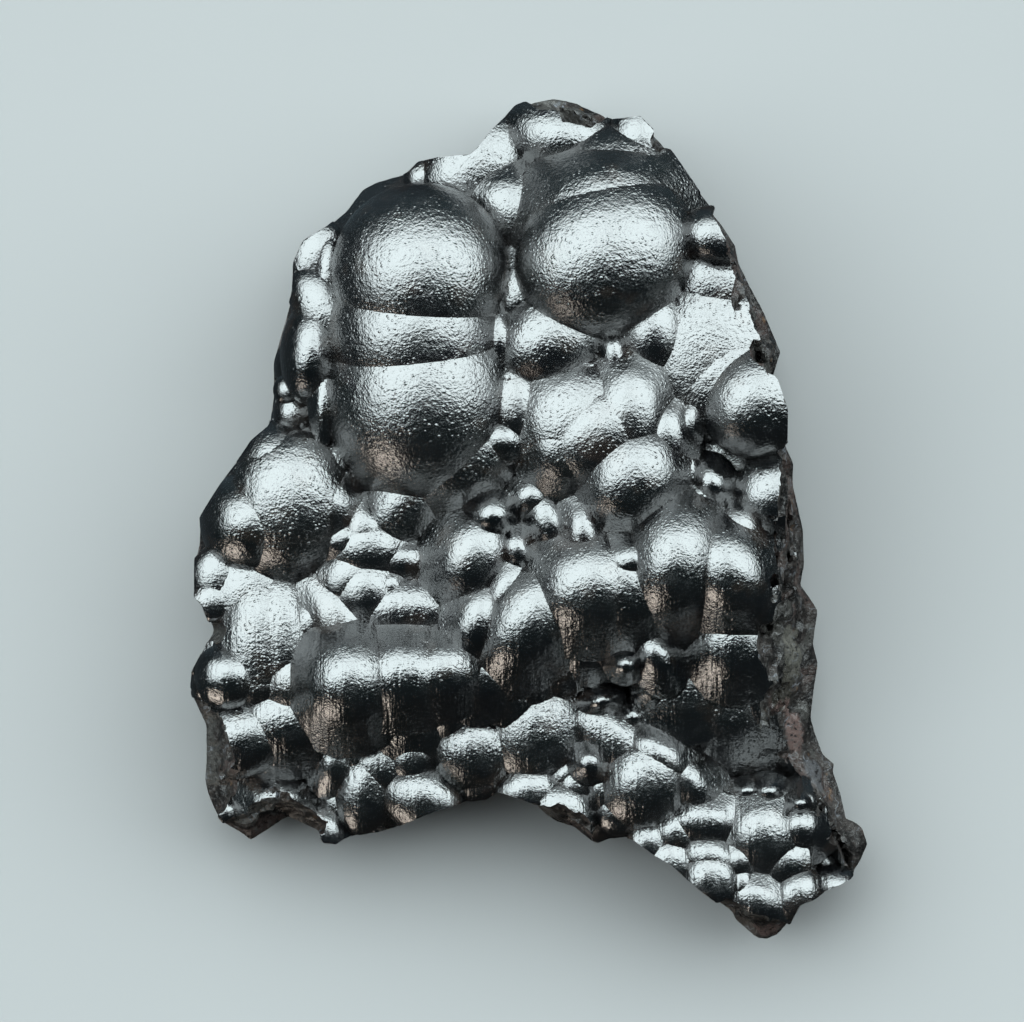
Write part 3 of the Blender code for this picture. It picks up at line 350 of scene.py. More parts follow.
def smooth_noise(points, size, seed=0):
    """Gradient noise from about -1 to 1 with features of the given size."""
    scaled = points / size + seed * 17.13
    base = np.floor(scaled)
    part = scaled - base
    fade = part ** 3 * (part * (part * 6 - 15) + 10)
    total = np.zeros(len(points))
    for step in CUBE:
        at = base + step
        offset = part - step
        slope = [hashed(at[:, 0] + axis * 13, at[:, 1] - axis * 7, at[:, 2] + seed) - 0.5
                 for axis in range(3)]
        weight = np.prod(np.where(step, fade, 1 - fade), axis=1)
        total += weight * sum(slope[axis] * offset[:, axis] for axis in range(3))
    return total * 3.0


def layered_noise(points, size, octaves, seed=0):
    """Several noises, each half the size and half the strength of the one before."""
    total = np.zeros(len(points))
    for octave in range(octaves):
        total += smooth_noise(points, size / 2 ** octave, seed + octave) / 2 ** octave
    return total


def chipped(points, size, seed):
    """Flat chips: each place belongs to the nearest of many middles, and tilts its own way."""
    base = np.floor(points / size)
    nearest = np.full(len(points), 1e9)
    height = np.zeros(len(points))
    for step in np.ndindex(3, 3, 3):
        cell = base + np.array(step) - 1
        keys = (cell[:, 0] + 17 * seed, cell[:, 1], cell[:, 2])
        middle = np.stack([hashed(*keys, channel) for channel in (1, 2, 3)], 1)
        away = points - (cell + middle) * size
        tilt = np.stack([hashed(*keys, channel) - 0.5 for channel in (4, 5, 6)], 1)
        distance = (away ** 2).sum(1)
        value = CHIP_STEP * size * hashed(*keys, 7) + (CHIP_TILT * tilt * away).sum(1)
        height = np.where(distance < nearest, value, height)
        nearest = np.minimum(distance, nearest)
    return height


def turned(x, y, degrees):
    """x and y in axes that are turned by some degrees."""
    angle = np.radians(degrees)
    return x * np.cos(angle) + y * np.sin(angle), y * np.cos(angle) - x * np.sin(angle)


def growth_height(x, y):
    """The height of the domed surface over one point, or the slab's where no dome covers it."""
    best = SLAB_HEIGHT
    for cx, cy, rx, ry, turn, top, rz in MOUNDS + DOMES:
        p, q = turned(x - cx, y - cy, turn)
        inside = 1 - (p / rx) ** 2 - (q / ry) ** 2
        if inside > 0:
            best = max(best, top - rz + rz * math.sqrt(inside))
    return best


def walk_outline(spacing):
    """Points along the outline at an even spacing: x, y, inward normal, skin inset."""
    corners = OUTLINE + OUTLINE[:1]
    points = []
    for (x0, y0, lean0), (x1, y1, lean1) in zip(corners, corners[1:]):
        steps = max(1, round(math.hypot(x1 - x0, y1 - y0) / spacing))
        for step in range(steps):
            t = step / steps
            points.append((x0 + (x1 - x0) * t, y0 + (y1 - y0) * t, lean0 + (lean1 - lean0) * t))
    walked = []
    for i, (x, y, lean) in enumerate(points):
        before = points[i - 2]
        after = points[(i + 2) % len(points)]
        along = Vector((after[0] - before[0], after[1] - before[1])).normalized()
        walked.append((Vector((x, y)), Vector((along.y, -along.x)), lean))
    return walked


def side_domes():
    """The domes that carry the skin down the sides, where it wraps round the edge."""
    domes = []
    for at, inward, lean in walk_outline(SIDE_SPACING):
        if lean > BROKEN_FROM:
            continue
        size = SIDE_RADIUS * (SIDE_SMALLEST + SIDE_RANGE * float(hashed(at.x, at.y)))
        low = SIDE_CENTRE_HEIGHT + SIDE_HEIGHT_RANGE * (float(hashed(at.x, at.y, 1)) - 0.5)
        low = min(low, growth_height(*(at + inward * size)) - size - SIDE_SUNK)
        middle = at + inward * (size + SIDE_CLEARANCE)
        domes.append((middle.x, middle.y, size, size, 0, low + size, size, 1))
    return domes


class Block:
    """The sampled block: its axes, its field (negative inside the specimen), and what made it."""

    def __init__(self):
        low = np.array(cad_low) / MM - MARGIN
        high = np.array(cad_high) / MM + MARGIN
        self.low = low
        self.axes = [np.arange(low[a], high[a] + CELL, CELL) for a in range(3)]
        self.shape = tuple(len(axis) for axis in self.axes)
        self.field = np.full(self.shape, FAR, np.float32)
        self.second = np.full(self.shape, FAR, np.float32)
        self.label = np.full(self.shape, SLAB, np.int16)

    def add_dome(self, number, dome):
        """Joins one dome, and the rock under it, to the field."""
        cx, cy, rx, ry, turn, top, rz, brow = dome
        reach = max(rx, ry) * SKIRT_END + MARGIN
        ends = ((cx - reach, cx + reach), (cy - reach, cy + reach), (-MARGIN, top + MARGIN))
        here = tuple(slice(*np.searchsorted(axis, end)) for axis, end in zip(self.axes, ends))
        x, y, z = (axis[part] for axis, part in zip(self.axes, here))
        p, q = turned(x[:, None] - cx, y - cy, turn)
        value = dome_field(p[:, :, None], q[:, :, None], z - (top - rz), rx, ry, rz, brow)
        nearer = value < self.field[here]
        self.second[here] = np.where(nearer, self.field[here], np.minimum(self.second[here], value))
        self.field[here] = np.where(nearer, value, self.field[here])
        self.label[here] = np.where(nearer, number, self.label[here])

    def cut(self, value, label):
        """Takes away whatever the given field is positive on."""
        outer = value > self.field
        self.field = np.where(outer, value, self.field)
        self.label = np.where(outer, label, self.label)


def dome_field(p, q, s, rx, ry, rz, brow):
    """About the distance from a dome: an ellipsoid with a straight skirt below its brow.

    A dome with a brow of 1 has no skirt, and stands on a slightly narrower root.
    """
    around = np.sqrt((p / rx) ** 2 + (q / ry) ** 2) + 1e-6
    tall = s / rz
    near = np.sqrt(around ** 2 + tall ** 2)
    spread = (p / rx ** 2) ** 2 + (q / ry ** 2) ** 2
    ball = near * (near - 1) / (np.sqrt(spread + (s / rz ** 2) ** 2) + 1e-6)
    narrow = np.minimum(rx, ry)
    level = np.sqrt(np.maximum(1 - brow ** 2, 0))
    skirt = around * brow + tall * level - 1
    skirt = skirt / np.sqrt(brow ** 2 * spread / around ** 2 + (level / rz) ** 2)
    skirt = np.maximum(skirt, (around - SKIRT_END) * narrow)
    skirted = np.where(tall * brow < around * level, skirt, ball)
    rooted = np.minimum(ball, np.maximum((around - ROOT_SHARE) * narrow, s))
    return np.where(brow < 1, skirted, rooted)


def brow_of(x, y, rx, ry, edges):
    """Where a dome's skirt starts, as a share of its half width."""
    reach = SKIRT_CLEARANCE * max(rx, ry)
    if any(math.hypot(x - at.x, y - at.y) < reach for at in edges):
        return 1.0
    brow = SMALL_BROW + BROW_GROWTH * ((rx + ry) / 2 - BROW_FROM)
    return min(max(brow, SMALL_BROW), LARGE_BROW)


def outline_maps(block):
    """Over the block's plan: distance inside the outline, and the nearest rim's lean and rise."""
    x, y = block.axes[0][:, None], block.axes[1]
    nearest = np.full(block.shape[:2], 1e9)
    lean_map = np.zeros(block.shape[:2])
    rise_map = np.ones(block.shape[:2])
    inside = np.zeros(block.shape[:2], bool)
    walked = walk_outline(1e9)
    rises = []
    for at, inward, lean in walked:
        edge = at + inward * lean
        rises.append(max(STEEPEST, growth_height(edge.x, edge.y) - WAIST_HEIGHT))
    for i, (start, _, lean0) in enumerate(walked):
        after = (i + 1) % len(walked)
        end, _, lean1 = walked[after]
        dx, dy = end - start
        t = np.clip(((x - start.x) * dx + (y - start.y) * dy) / (dx * dx + dy * dy), 0, 1)
        distance = np.hypot(x - start.x - t * dx, y - start.y - t * dy)
        nearer = distance < nearest
        nearest = np.where(nearer, distance, nearest)
        lean_map = np.where(nearer, lean0 + (lean1 - lean0) * t, lean_map)
        rise_map = np.where(nearer, rises[i] + (rises[after] - rises[i]) * t, rise_map)
        crosses = (start.y > y) != (end.y > y)
        if dy:
            inside ^= crosses & (x < start.x + (y - start.y) * dx / dy)
    return np.where(inside, nearest, -nearest), lean_map, rise_map


def side_field(block):
    """Positive outside the rim: drawn in at the foot, and leaning in along the broken edge."""
    distance, lean, rise = outline_maps(block)
    z = block.axes[2]
    above = np.clip(z - WAIST_HEIGHT, 0, None)
    below = np.clip(1 - z / WAIST_HEIGHT, 0, 1)
    broken = lean > BROKEN_FROM
    climbed = np.minimum(above / rise[:, :, None], 1)
    inset = np.where(broken, lean, 0)[:, :, None] * climbed + FOOT_INSET * below ** FOOT_CURVE
    value = (inset - distance[:, :, None] + EDGE_CLEARANCE).astype(np.float32)
    share = np.where(broken, np.minimum(lean / FULLY_CHIPPED, 1), 0)[:, :, None]
    share = share * np.clip(above / CHIPPED_RISE, 0, 1)
    rough = np.maximum(share, np.clip(below * CHIPPED_FOOT, 0, 1))
    close = (value < 0.8) & (value > -ROUGHEST - 0.6) & (rough > 0) & (block.field < 1.0)
    i, j, k = np.nonzero(close)
    points = np.stack([block.axes[0][i], block.axes[1][j], block.axes[2][k]], 1)
    depth = -block.field[i, j, k]
    chips = LARGE_CHIP_DEPTH * chipped(points * (1, 1, 0.6), LARGE_CHIP, 3)
    chips = chips + SMALL_CHIP_DEPTH * chipped(points, SMALL_CHIP, 9)
    fibres = FIBRE_DEPTH * layered_noise(points * (1, 1, 0.22), FIBRE, 2, seed=11)
    layers = depth / LAYER + LAYER_WAVE * smooth_noise(points, 2.4, seed=5)
    ledges = LEDGE_DEPTH * (layers - np.floor(layers))
    ledges = ledges * (0.55 + 0.6 * smooth_noise(points, 4.0, seed=6))
    worn = np.minimum(WEAR + np.maximum(chips, 0) + fibres + ledges, ROUGHEST)
    value[i, j, k] += (rough[i, j, k] * worn).astype(np.float32)
    return value


def back_height(block):
    """The height of the back over the plane it rests on."""
    x, y = np.meshgrid(block.axes[0], block.axes[1], indexing="ij")
    height = np.zeros(x.shape)
    for column in range(-HOLLOW_COLUMNS, HOLLOW_COLUMNS + 1):
        for row in range(-HOLLOW_ROWS, HOLLOW_ROWS + 1):
            chance = [float(hashed(column, row, channel)) for channel in range(5)]
            cx = (column + HOLLOW_SHIFT * chance[0]) * HOLLOW_SPACING
            cy = (row + 0.5 * (column % 2) + HOLLOW_SHIFT * chance[1]) * HOLLOW_SPACING
            if math.hypot(cx - REST_FLAT[0], cy - REST_FLAT[1]) < REST_FLAT_RADIUS:
                continue
            wide = HOLLOW_RADIUS * (SMALLEST_HOLLOW + HOLLOW_RANGE * chance[2])
            deep = HOLLOW_DEPTH * (SHALLOWEST + chance[3])
            p, q = turned(x - cx, y - cy, 180 * chance[4])
            inside = 1 - (p / wide) ** 2 - (q / (wide * HOLLOW_NARROW)) ** 2
            bowl = -HOLLOW_START + (deep + HOLLOW_START) * np.sqrt(np.clip(inside, 0, 1))
            height = np.maximum(height, bowl)
    flat = np.stack([x.ravel(), y.ravel(), np.zeros(x.size)], 1)
    chips = np.abs(layered_noise(flat, BACK_CHIP, 3, seed=21)).reshape(x.shape)
    along = (flat @ BACK_GRAIN) * (1, 0.25, 1)
    fibres = layered_noise(along, BACK_FIBRE, 2, seed=25).reshape(x.shape)
    rough = BACK_CHIP_DEPTH * chips - BACK_LEVEL + BACK_FIBRE_DEPTH * fibres
    return np.maximum(height + np.maximum(rough, 0), 0) + EDGE_CLEARANCE


class Crossings:
    """Where the grid's edges cross the surface, and its direction there."""

    def __init__(self, block, domes, side, back):
        self.table = np.array(domes, np.float64)
        self.fields = ((SIDE, side), (BACK, back))
        self.block = block
        inside = block.field < 0
        found = []
        for axis in range(3):
            index = np.nonzero(np.diff(inside, axis=axis))
            start = np.stack(index, 1)
            end = start.copy()
            end[:, axis] += 1
            point, label = self.locate(start, end, axis)
            normal = self.slope(point, label, start, end)
            found.append((point, normal, label, self.cells_round(start, axis), inside[index]))
        columns = [np.concatenate(column) for column in zip(*found)]
        self.points, self.normals, self.labels, self.cells, self.outward = columns

    def value(self, label, point):
        """The field of the dome with the given number at each point."""
        cx, cy, rx, ry, turn, top, rz, brow = self.table[label].T
        p, q = turned(point[:, 0] - cx, point[:, 1] - cy, turn)
        return dome_field(p, q, point[:, 2] - (top - rz), rx, ry, rz, brow)

    def gradient(self, label, point):
        """The outward direction of that dome's field at each point."""
        slopes = []
        for offset in np.eye(3) * 0.002:
            slopes.append(self.value(label, point + offset) - self.value(label, point - offset))
        return unit(np.stack(slopes, 1))

    def locate(self, start, end, axis):
        """The crossing on each edge, and which kind of surface it lies on."""
        block = self.block
        at0, at1 = tuple(start.T), tuple(end.T)
        f0, f1 = (block.field[at].astype(np.float64) for at in (at0, at1))
        l0, l1 = block.label[at0], block.label[at1]
        t = f0 / (f0 - f1)
        label = np.where(np.abs(f0) < np.abs(f1), l0, l1)
        origin = block.low + start * CELL
        grown = (l0 >= 0) & (l1 >= 0)
        first, second = l0[grown], l1[grown]
        near = np.zeros(grown.sum())
        far = np.ones(grown.sum())
        near_inside = f0[grown] < 0
        base = origin[grown]
        for _ in range(HALVINGS):
            middle = (near + far) / 2
            point = base.copy()
            point[:, axis] += middle * CELL
            here = np.minimum(self.value(first, point), self.value(second, point)) < 0
            same = here == near_inside
            near = np.where(same, middle, near)
            far = np.where(same, far, middle)
        t[grown] = (near + far) / 2
        point = origin.copy()
        point[:, axis] += t * CELL
        a = np.abs(self.value(first, point[grown]))
        b = np.abs(self.value(second, point[grown]))
        label[grown] = np.where(a <= b, first, second)
        return point, label

    def slope(self, point, label, start, end):
        """The outward direction of the surface at each crossing."""
        normal = np.zeros((len(point), 3))
        normal[:, 2] = 1.0
        grown = label >= 0
        normal[grown] = self.gradient(label[grown], point[grown])
        for kind, field in self.fields:
            pick = label == kind
            slope = np.zeros((pick.sum(), 3))
            for axis, step in enumerate(np.eye(3, dtype=int)):
                for at in (start[pick], end[pick]):
                    slope[:, axis] += field[tuple((at + step).T)] - field[tuple((at - step).T)]
            normal[pick] = unit(slope)
        return normal

    def cells_round(self, start, axis):
        """The four cells that share each edge, in order round it."""
        shape = self.block.shape
        b, c = (axis + 1) % 3, (axis + 2) % 3
        rows = []
        for db, dc in ((-1, -1), (0, -1), (0, 0), (-1, 0)):
            cell = start.copy()
            cell[:, b] += db
            cell[:, c] += dc
            rows.append((cell[:, 0] * shape[1] + cell[:, 1]) * shape[2] + cell[:, 2])
        return np.stack(rows, 1)


def merged_cells(crossings, shape):
    """A number for each crossing's four cells: those of the plain back and foot join in eights."""
    cells, place = np.unique(crossings.cells, return_inverse=True)
    place = place.reshape(crossings.cells.shape)
    low = crossings.points[:, 2] < COARSE_BELOW
    coarse = (crossings.labels == BACK) | ((crossings.labels == SIDE) & low)
    fine = np.zeros(len(cells), bool)
    np.logical_or.at(fine, place[~coarse].ravel(), True)
    i, j, k = np.unravel_index(cells, shape)
    parent = (i // 2 * shape[1] + j // 2) * shape[2] + k // 2
    parents, member = np.unique(parent, return_inverse=True)
    blocked = np.zeros(len(parents), bool)
    np.logical_or.at(blocked, member, fine)
    join = ~blocked[member]
    keys = np.where(join, parent + np.prod(shape), cells)
    _, first, group = np.unique(keys, return_index=True, return_inverse=True)
    corner = np.stack([i, j, k], 1)
    corner = np.where(join[:, None], corner // 2 * 2, corner)[first]
    width = np.where(join, 2, 1)[first]
    return group[place], corner, width


def surface_points(crossings, block):
    """One point for each cell, drawn onto creases and edges, and the faces between them."""
    place, corner, width = merged_cells(crossings, block.shape)
    count = len(corner)
    middle = block.low + (corner + width[:, None] / 2) * CELL
    index = place.ravel()
    normal = np.repeat(crossings.normals, 4, axis=0)
    offset = np.repeat(crossings.points, 4, axis=0) - middle[index]
    number = np.bincount(index, minlength=count)
    mass = np.stack([np.bincount(index, values, count) for values in offset.T], 1)
    mass = mass / number[:, None]
    offset = offset - mass[index]
    along = (normal * offset).sum(1)
    matrix = np.zeros((count, 3, 3))
    right = np.zeros((count, 3))
    for a in range(3):
        right[:, a] = np.bincount(index, normal[:, a] * along, count)
        for b in range(3):
            matrix[:, a, b] = np.bincount(index, normal[:, a] * normal[:, b], count)
    matrix += np.eye(3) * CREASE_SOFTNESS * number[:, None, None]
    shift = np.linalg.solve(matrix, right[:, :, None])[:, :, 0]
    half = width[:, None] * CELL / 2
    points = middle + np.clip(mass + shift, -half, half)
    labels = np.repeat(crossings.labels, 4)
    lowest = np.full(count, labels.max())
    highest = np.full(count, labels.min())
    np.minimum.at(lowest, index, labels)
    np.maximum.at(highest, index, labels)
    single = (lowest == highest) & (lowest >= 0)
    for _ in range(2):
        here = points[single]
        value = crossings.value(lowest[single], here)
        points[single] = here - value[:, None] * crossings.gradient(lowest[single], here)
    return points, np.where(crossings.outward[:, None], place, place[:, ::-1])


def clean_faces(quads, labels):
    """The faces as lists of corners, with those that a merge flattened left out."""
    kept = quads != np.roll(quads, -1, axis=1)
    size = kept.sum(1)
    crossed = (quads[:, 0] == quads[:, 2]) | (quads[:, 1] == quads[:, 3])
    whole = (size == 4) & ~crossed
    three = (size == 3) & ~crossed
    triangles = quads[three][kept[three]].reshape(-1, 3)
    found = []
    for faces, numbers in ((quads[whole], labels[whole]), (triangles, labels[three])):
        _, group, times = np.unique(np.sort(faces), axis=0,
                                    return_inverse=True, return_counts=True)
        alone = times[group.reshape(-1)] == 1
        found += [faces[alone], numbers[alone]]
    return found


def build_mesh(quads, quad_labels, triangles, triangle_labels):
    """A mesh from the faces, the points it uses, and what each face belongs to."""
    mesh = bpy.data.meshes.new("goethite_specimen")
    sides = np.concatenate([np.full(len(quads), 4), np.full(len(triangles), 3)])
    labels = np.concatenate([quad_labels, triangle_labels])
    corners = np.concatenate([quads.ravel(), triangles.ravel()])
    used, corners = np.unique(corners, return_inverse=True)
    mesh.vertices.add(len(used))
    mesh.loops.add(len(corners))
    mesh.loops.foreach_set("vertex_index", corners.astype(np.int32))
    mesh.polygons.add(len(sides))
    mesh.polygons.foreach_set("loop_start", (np.cumsum(sides) - sides).astype(np.int32))
    mesh.update(calc_edges=True)
    mesh.polygons.foreach_set("material_index", np.where(labels >= 0, 0, 1).astype(np.int32))
    mesh.polygons.foreach_set("use_smooth", labels != SIDE)
    return mesh, used, corners, sides, labels


def waves(points):
    """The height of the slight waves in the skin."""
    broad = smooth_noise(points, BROAD_WAVE, seed=41)
    return WAVE_DEPTH * (broad + NARROW_WAVE_SHARE * smooth_noise(points, NARROW_WAVE, seed=42))


def skin_normals(crossings, number, points):
    """The direction of the skin at each point: its dome's own, tilted by the waves."""
    normal = crossings.gradient(number, points)
    step = 0.02
    middle = waves(points)
    slope = np.stack([(waves(points + offset) - middle) / step for offset in np.eye(3) * step], 1)
    slope -= (slope * normal).sum(1, keepdims=True) * normal
    return unit(normal - slope)


def waved(points, corners, skin, normal):
    """The points with the waves pressed in where all the faces round them are skin."""
    grown = np.zeros(len(points), bool)
    grown[corners[skin]] = True
    grown[corners[~skin]] = False
    outward = np.zeros((len(points), 3))
    np.add.at(outward, corners[skin], normal)
    push = np.zeros(len(points))
    push[grown] = waves(points[grown]) - WAVE_SUNK * WAVE_DEPTH
    moved = points + unit(outward) * push[:, None]
    moved[:, 2] = np.maximum(moved[:, 2], EDGE_CLEARANCE)
    return moved


def fold_nearness(block, points):
    """How near each point is to the fold between two domes: 1 in it, 0 away from it."""
    gap = block.second - block.field
    place = (points - block.low) / CELL
    base = np.clip(np.floor(place).astype(int), 0, np.array(block.shape) - 2)
    part = place - base
    total = np.zeros(len(points))
    for step in CUBE:
        weight = np.prod(np.where(step, part, 1 - part), axis=1)
        total += weight * np.clip(gap[tuple((base + step).T)], 0, 2)
    return np.exp(-total / CREASE_WIDTH)


def add_object(name, data):
    """An object in the scene that shows the given data."""
    made = bpy.data.objects.new(name, data)
    bpy.context.collection.objects.link(made)
    return made


def make_specimen():
    """The whole piece: skin and broken rock in one closed mesh."""
    block = Block()
    edges = [at for at, _, lean in walk_outline(RIM_SPACING) if lean <= BROKEN_FROM]
    domes = [dome + (brow_of(*dome[:4], edges),) for dome in MOUNDS + DOMES]
    domes = [tuple(map(float, dome)) for dome in domes + side_domes()]
    block.field[:] = block.axes[2] - SLAB_HEIGHT
    for number, dome in enumerate(domes):
        block.add_dome(number, dome)
    side = side_field(block)
    block.cut(side, SIDE)
    back = (back_height(block)[:, :, None] - block.axes[2]).astype(np.float32)
    block.cut(back, BACK)
    crossings = Crossings(block, domes, side, back)
    points, faces = surface_points(crossings, block)
    mesh, used, corners, sides, labels = build_mesh(*clean_faces(faces, crossings.labels))
    points = points[used]

    skin = np.repeat(labels >= 0, sides)
    numbers = np.repeat(labels, sides)[skin]
    normal = skin_normals(crossings, numbers, points[corners[skin]])
    custom = np.zeros((len(corners), 3))
    custom[skin] = normal
    mesh.vertices.foreach_set("co", (waved(points, corners, skin, normal) * MM).ravel())

    size = np.zeros(len(used))
    radius = np.array(domes)[:, 2:4].mean(1)
    np.maximum.at(size, corners[skin], radius[numbers])
    wide = np.clip((size - WIDE_FROM) / (WIDE_TO - WIDE_FROM), 0, 1)
    for name, values in (("wide", wide), ("crease", fold_nearness(block, points))):
        attribute = mesh.attributes.new(name, "FLOAT", "POINT")
        attribute.data.foreach_set("value", values.astype(np.float32))
    mesh.update()
    assert not mesh.validate()
    mesh.normals_split_custom_set([tuple(row) for row in custom.tolist()])
    return add_object("goethite_specimen", mesh)


class Nodes:
    """A short way to write a node tree."""

    def __init__(self, tree):
        self.tree = tree
        tree.nodes.clear()

    def add(self, kind, inputs=None, **settings):
        """A node with its settings, and its inputs linked or set."""
        node = self.tree.nodes.new(kind)
        for name, value in settings.items():
            setattr(node, name, value)
        for name, value in (inputs or {}).items():
            if isinstance(value, bpy.types.NodeSocket):
                self.tree.links.new(value, node.inputs[name])
            else:
                node.inputs[name].default_value = value
        return node

    def math(self, operation, a, b=0.0):
        """One step of arithmetic."""
        return self.add("ShaderNodeMath", {0: a, 1: b}, operation=operation).outputs[0]

    def times(self, a, b):
        """One number times another."""
        return self.math("MULTIPLY", a, b)

    def vector(self, operation, a, b=(0.0, 0.0, 0.0)):
        """One step of arithmetic with vectors."""
        node = self.add("ShaderNodeVectorMath", {0: a, 1: b}, operation=operation)
        return node.outputs["Value" if operation == "DISTANCE" else "Vector"]

    def between(self, value, low, high, to_low=0.0, to_high=1.0):
        """A smooth step from one number to another."""
        inputs = {"Value": value, "From Min": low, "From Max": high,
                  "To Min": to_low, "To Max": to_high}
        node = self.add("ShaderNodeMapRange", inputs, interpolation_type="SMOOTHSTEP")
        return node.outputs["Result"]

    def noise(self, vector, size, detail=2.0, roughness=0.5):
        """A noise with features of the given size in millimetres."""
        inputs = {"Vector": vector, "Scale": 1 / size, "Detail": detail, "Roughness": roughness}
        return self.add("ShaderNodeTexNoise", inputs).outputs["Fac"]

    def mix(self, factor, a, b):
        """A colour between two."""
        return self.add("ShaderNodeMix", {0: factor, 6: a, 7: b}, data_type="RGBA").outputs[2]

    def place(self):
        """The point on the piece, in millimetres."""
        where = self.add("ShaderNodeTexCoord").outputs["Object"]
        return self.vector("MULTIPLY", where, (1 / MM, 1 / MM, 1 / MM))

    def attribute(self, name):
        """A value that is stored with the mesh."""
        return self.add("ShaderNodeAttribute", attribute_name=name).outputs["Fac"]

    def bump(self, height, depth, strength=1.0, after=None):
        """Raises the surface by a height from 0 to 1 times a depth in millimetres."""
        inputs = {"Height": height, "Distance": depth * MM, "Strength": strength}
        if after is not None:
            inputs["Normal"] = after
        return self.add("ShaderNodeBump", inputs).outputs["Normal"]

    def show(self, shader, kind="Material"):
        """Makes the given shader what is seen."""
        self.add("ShaderNodeOutput" + kind, {"Surface": shader.outputs[0]})


def new_material(name):
    """A material and its empty node tree."""
    material = bpy.data.materials.new(name)
    material.use_nodes = True
    return material, Nodes(material.node_tree)


def make_skin():
    """Dark steel: near mirror on the small domes, hammered on the wide ones, brown in the folds."""
    material, n = new_material("goethite_skin")
    mm = n.place()
    crease = n.attribute("crease")
    wide = n.attribute("wide")
    along = n.add("ShaderNodeSeparateXYZ", {0: mm}).outputs["Y"]

    color = n.mix(n.between(n.noise(mm, 6.0, 3.0), 0.42, 0.62), STEEL_DARK, STEEL_PALE)
    color = n.mix(n.between(n.noise(mm, 3.2), 0.56, 0.7), color, RUST)
    color = n.mix(n.times(crease, 0.5), color, FOLD_BROWN)

    rough = n.between(n.noise(mm, 1.1, 3.0, 0.6), 0.3, 0.75, 0.12, 0.21)
    for more in (n.times(wide, 0.055), n.times(crease, 0.02),
                 n.between(along, SATIN_FROM, SATIN_FULL, 0.0, 0.04)):
        rough = n.math("ADD", rough, more)

    spots = n.add("ShaderNodeTexVoronoi", {"Vector": mm, "Scale": 1 / PIMPLE})
    pimples = n.between(spots.outputs["Distance"], 0.08, 0.4, 1.0, 0.0)
    sparse = n.between(n.noise(mm, 1.6), 0.36, 0.56)
    hammered = n.between(wide, 0.0, 1.0, 0.55, 1.0)
    ribs = n.noise(n.vector("MULTIPLY", mm, RIB_SHORTENED), RIB)
    normal = n.bump(n.noise(mm, DENT), DENT_DEPTH, hammered)
    normal = n.bump(n.noise(mm, DIMPLE, 2.0, 0.6), DIMPLE_DEPTH, hammered, normal)
    normal = n.bump(n.noise(mm, GRAIN, 2.0, 0.6), GRAIN_DEPTH, 1.0, normal)
    normal = n.bump(ribs, RIB_DEPTH, n.between(along, RIBS_FROM, RIBS_FULL), normal)
    normal = n.bump(pimples, PIMPLE_DEPTH, n.times(sparse, hammered), normal)
    n.show(n.add("ShaderNodeBsdfPrincipled", {
        "Base Color": color, "Roughness": rough, "IOR": SKIN_IOR, "Normal": normal}))
    return material


def make_fracture():
    """Broken rock: dark brown, fibrous, with painted grey-blue gleams, which are painted
    highlights, along the growth layers.
    """
    material, n = new_material("goethite_fracture")
    mm = n.place()
    tall = n.vector("MULTIPLY", mm, FIBRE_SHORTENED)
    fibres = n.noise(tall, 0.32, 3.0, 0.6)
    patches = n.noise(mm, 2.4, 3.0, 0.55)
    faces = n.noise(mm, 4.5, 1.0)

    color = n.mix(n.between(patches, 0.4, 0.62), ROCK_DARK, ROCK_BROWN)
    color = n.mix(n.between(faces, 0.56, 0.6), color, ROCK_RED)
    color = n.mix(n.between(faces, 0.43, 0.39), color, ROCK_GREY)
    uneven = n.times(n.math("SUBTRACT", patches, 0.5), 3.0)
    for spot, reach, tone in ROCK_TONES:
        away = n.math("ADD", n.vector("DISTANCE", mm, spot), uneven)
        color = n.mix(n.between(away, reach, reach + 0.5, 0.9, 0.0), color, tone)
    color = n.mix(n.between(fibres, 0.5, 0.72), color, FIBRE_PALE)
    color = n.mix(n.between(fibres, 0.46, 0.34), color, FIBRE_DARK)
    ochre = n.between(n.noise(mm, 1.3, 3.0), 0.66, 0.74)
    color = n.mix(n.times(ochre, 0.5), color, OCHRE)
    # Painted highlight: thin bluish-white gleam lines in the colour, along the fibres
    painted_gleam = n.math("ABSOLUTE", n.math("SUBTRACT", n.noise(tall, 1.6, 3.0), 0.5))
    painted_gleam = n.times(n.between(painted_gleam, 0.0, 0.018, 1.0, 0.0), n.between(patches, 0.5, 0.62))
    color = n.mix(n.times(painted_gleam, 0.6), color, PAINTED_GLEAM_BLUE)

    normal = n.bump(fibres, 0.16)
    normal = n.bump(n.noise(mm, 0.2, 3.0, 0.65), 0.05, 1.0, normal)
    rough = n.between(patches, 0.35, 0.65, 0.26, 0.5)
    n.show(n.add("ShaderNodeBsdfPrincipled", {
        "Base Color": color, "Roughness": rough, "Normal": normal}))
    return material


def make_floor():
    """A plain pale table top."""
    mesh = bpy.data.meshes.new("floor")
    corners = [(x * FLOOR_HALF, y * FLOOR_HALF, 0) for x, y in ((-1, -1), (1, -1), (1, 1), (-1, 1))]
    mesh.from_pydata(corners, [], [(0, 1, 2, 3)])
    floor = add_object("floor", mesh)
    material, n = new_material("floor_paint")
    tone = n.mix(n.noise(n.place(), 40.0, 3.0), *FLOOR_GREYS)
    n.show(n.add("ShaderNodeBsdfPrincipled", {
        "Base Color": tone, "Roughness": 0.85, "Specular IOR Level": 0.2}))
    mesh.materials.append(material)
    floor.visible_glossy = False


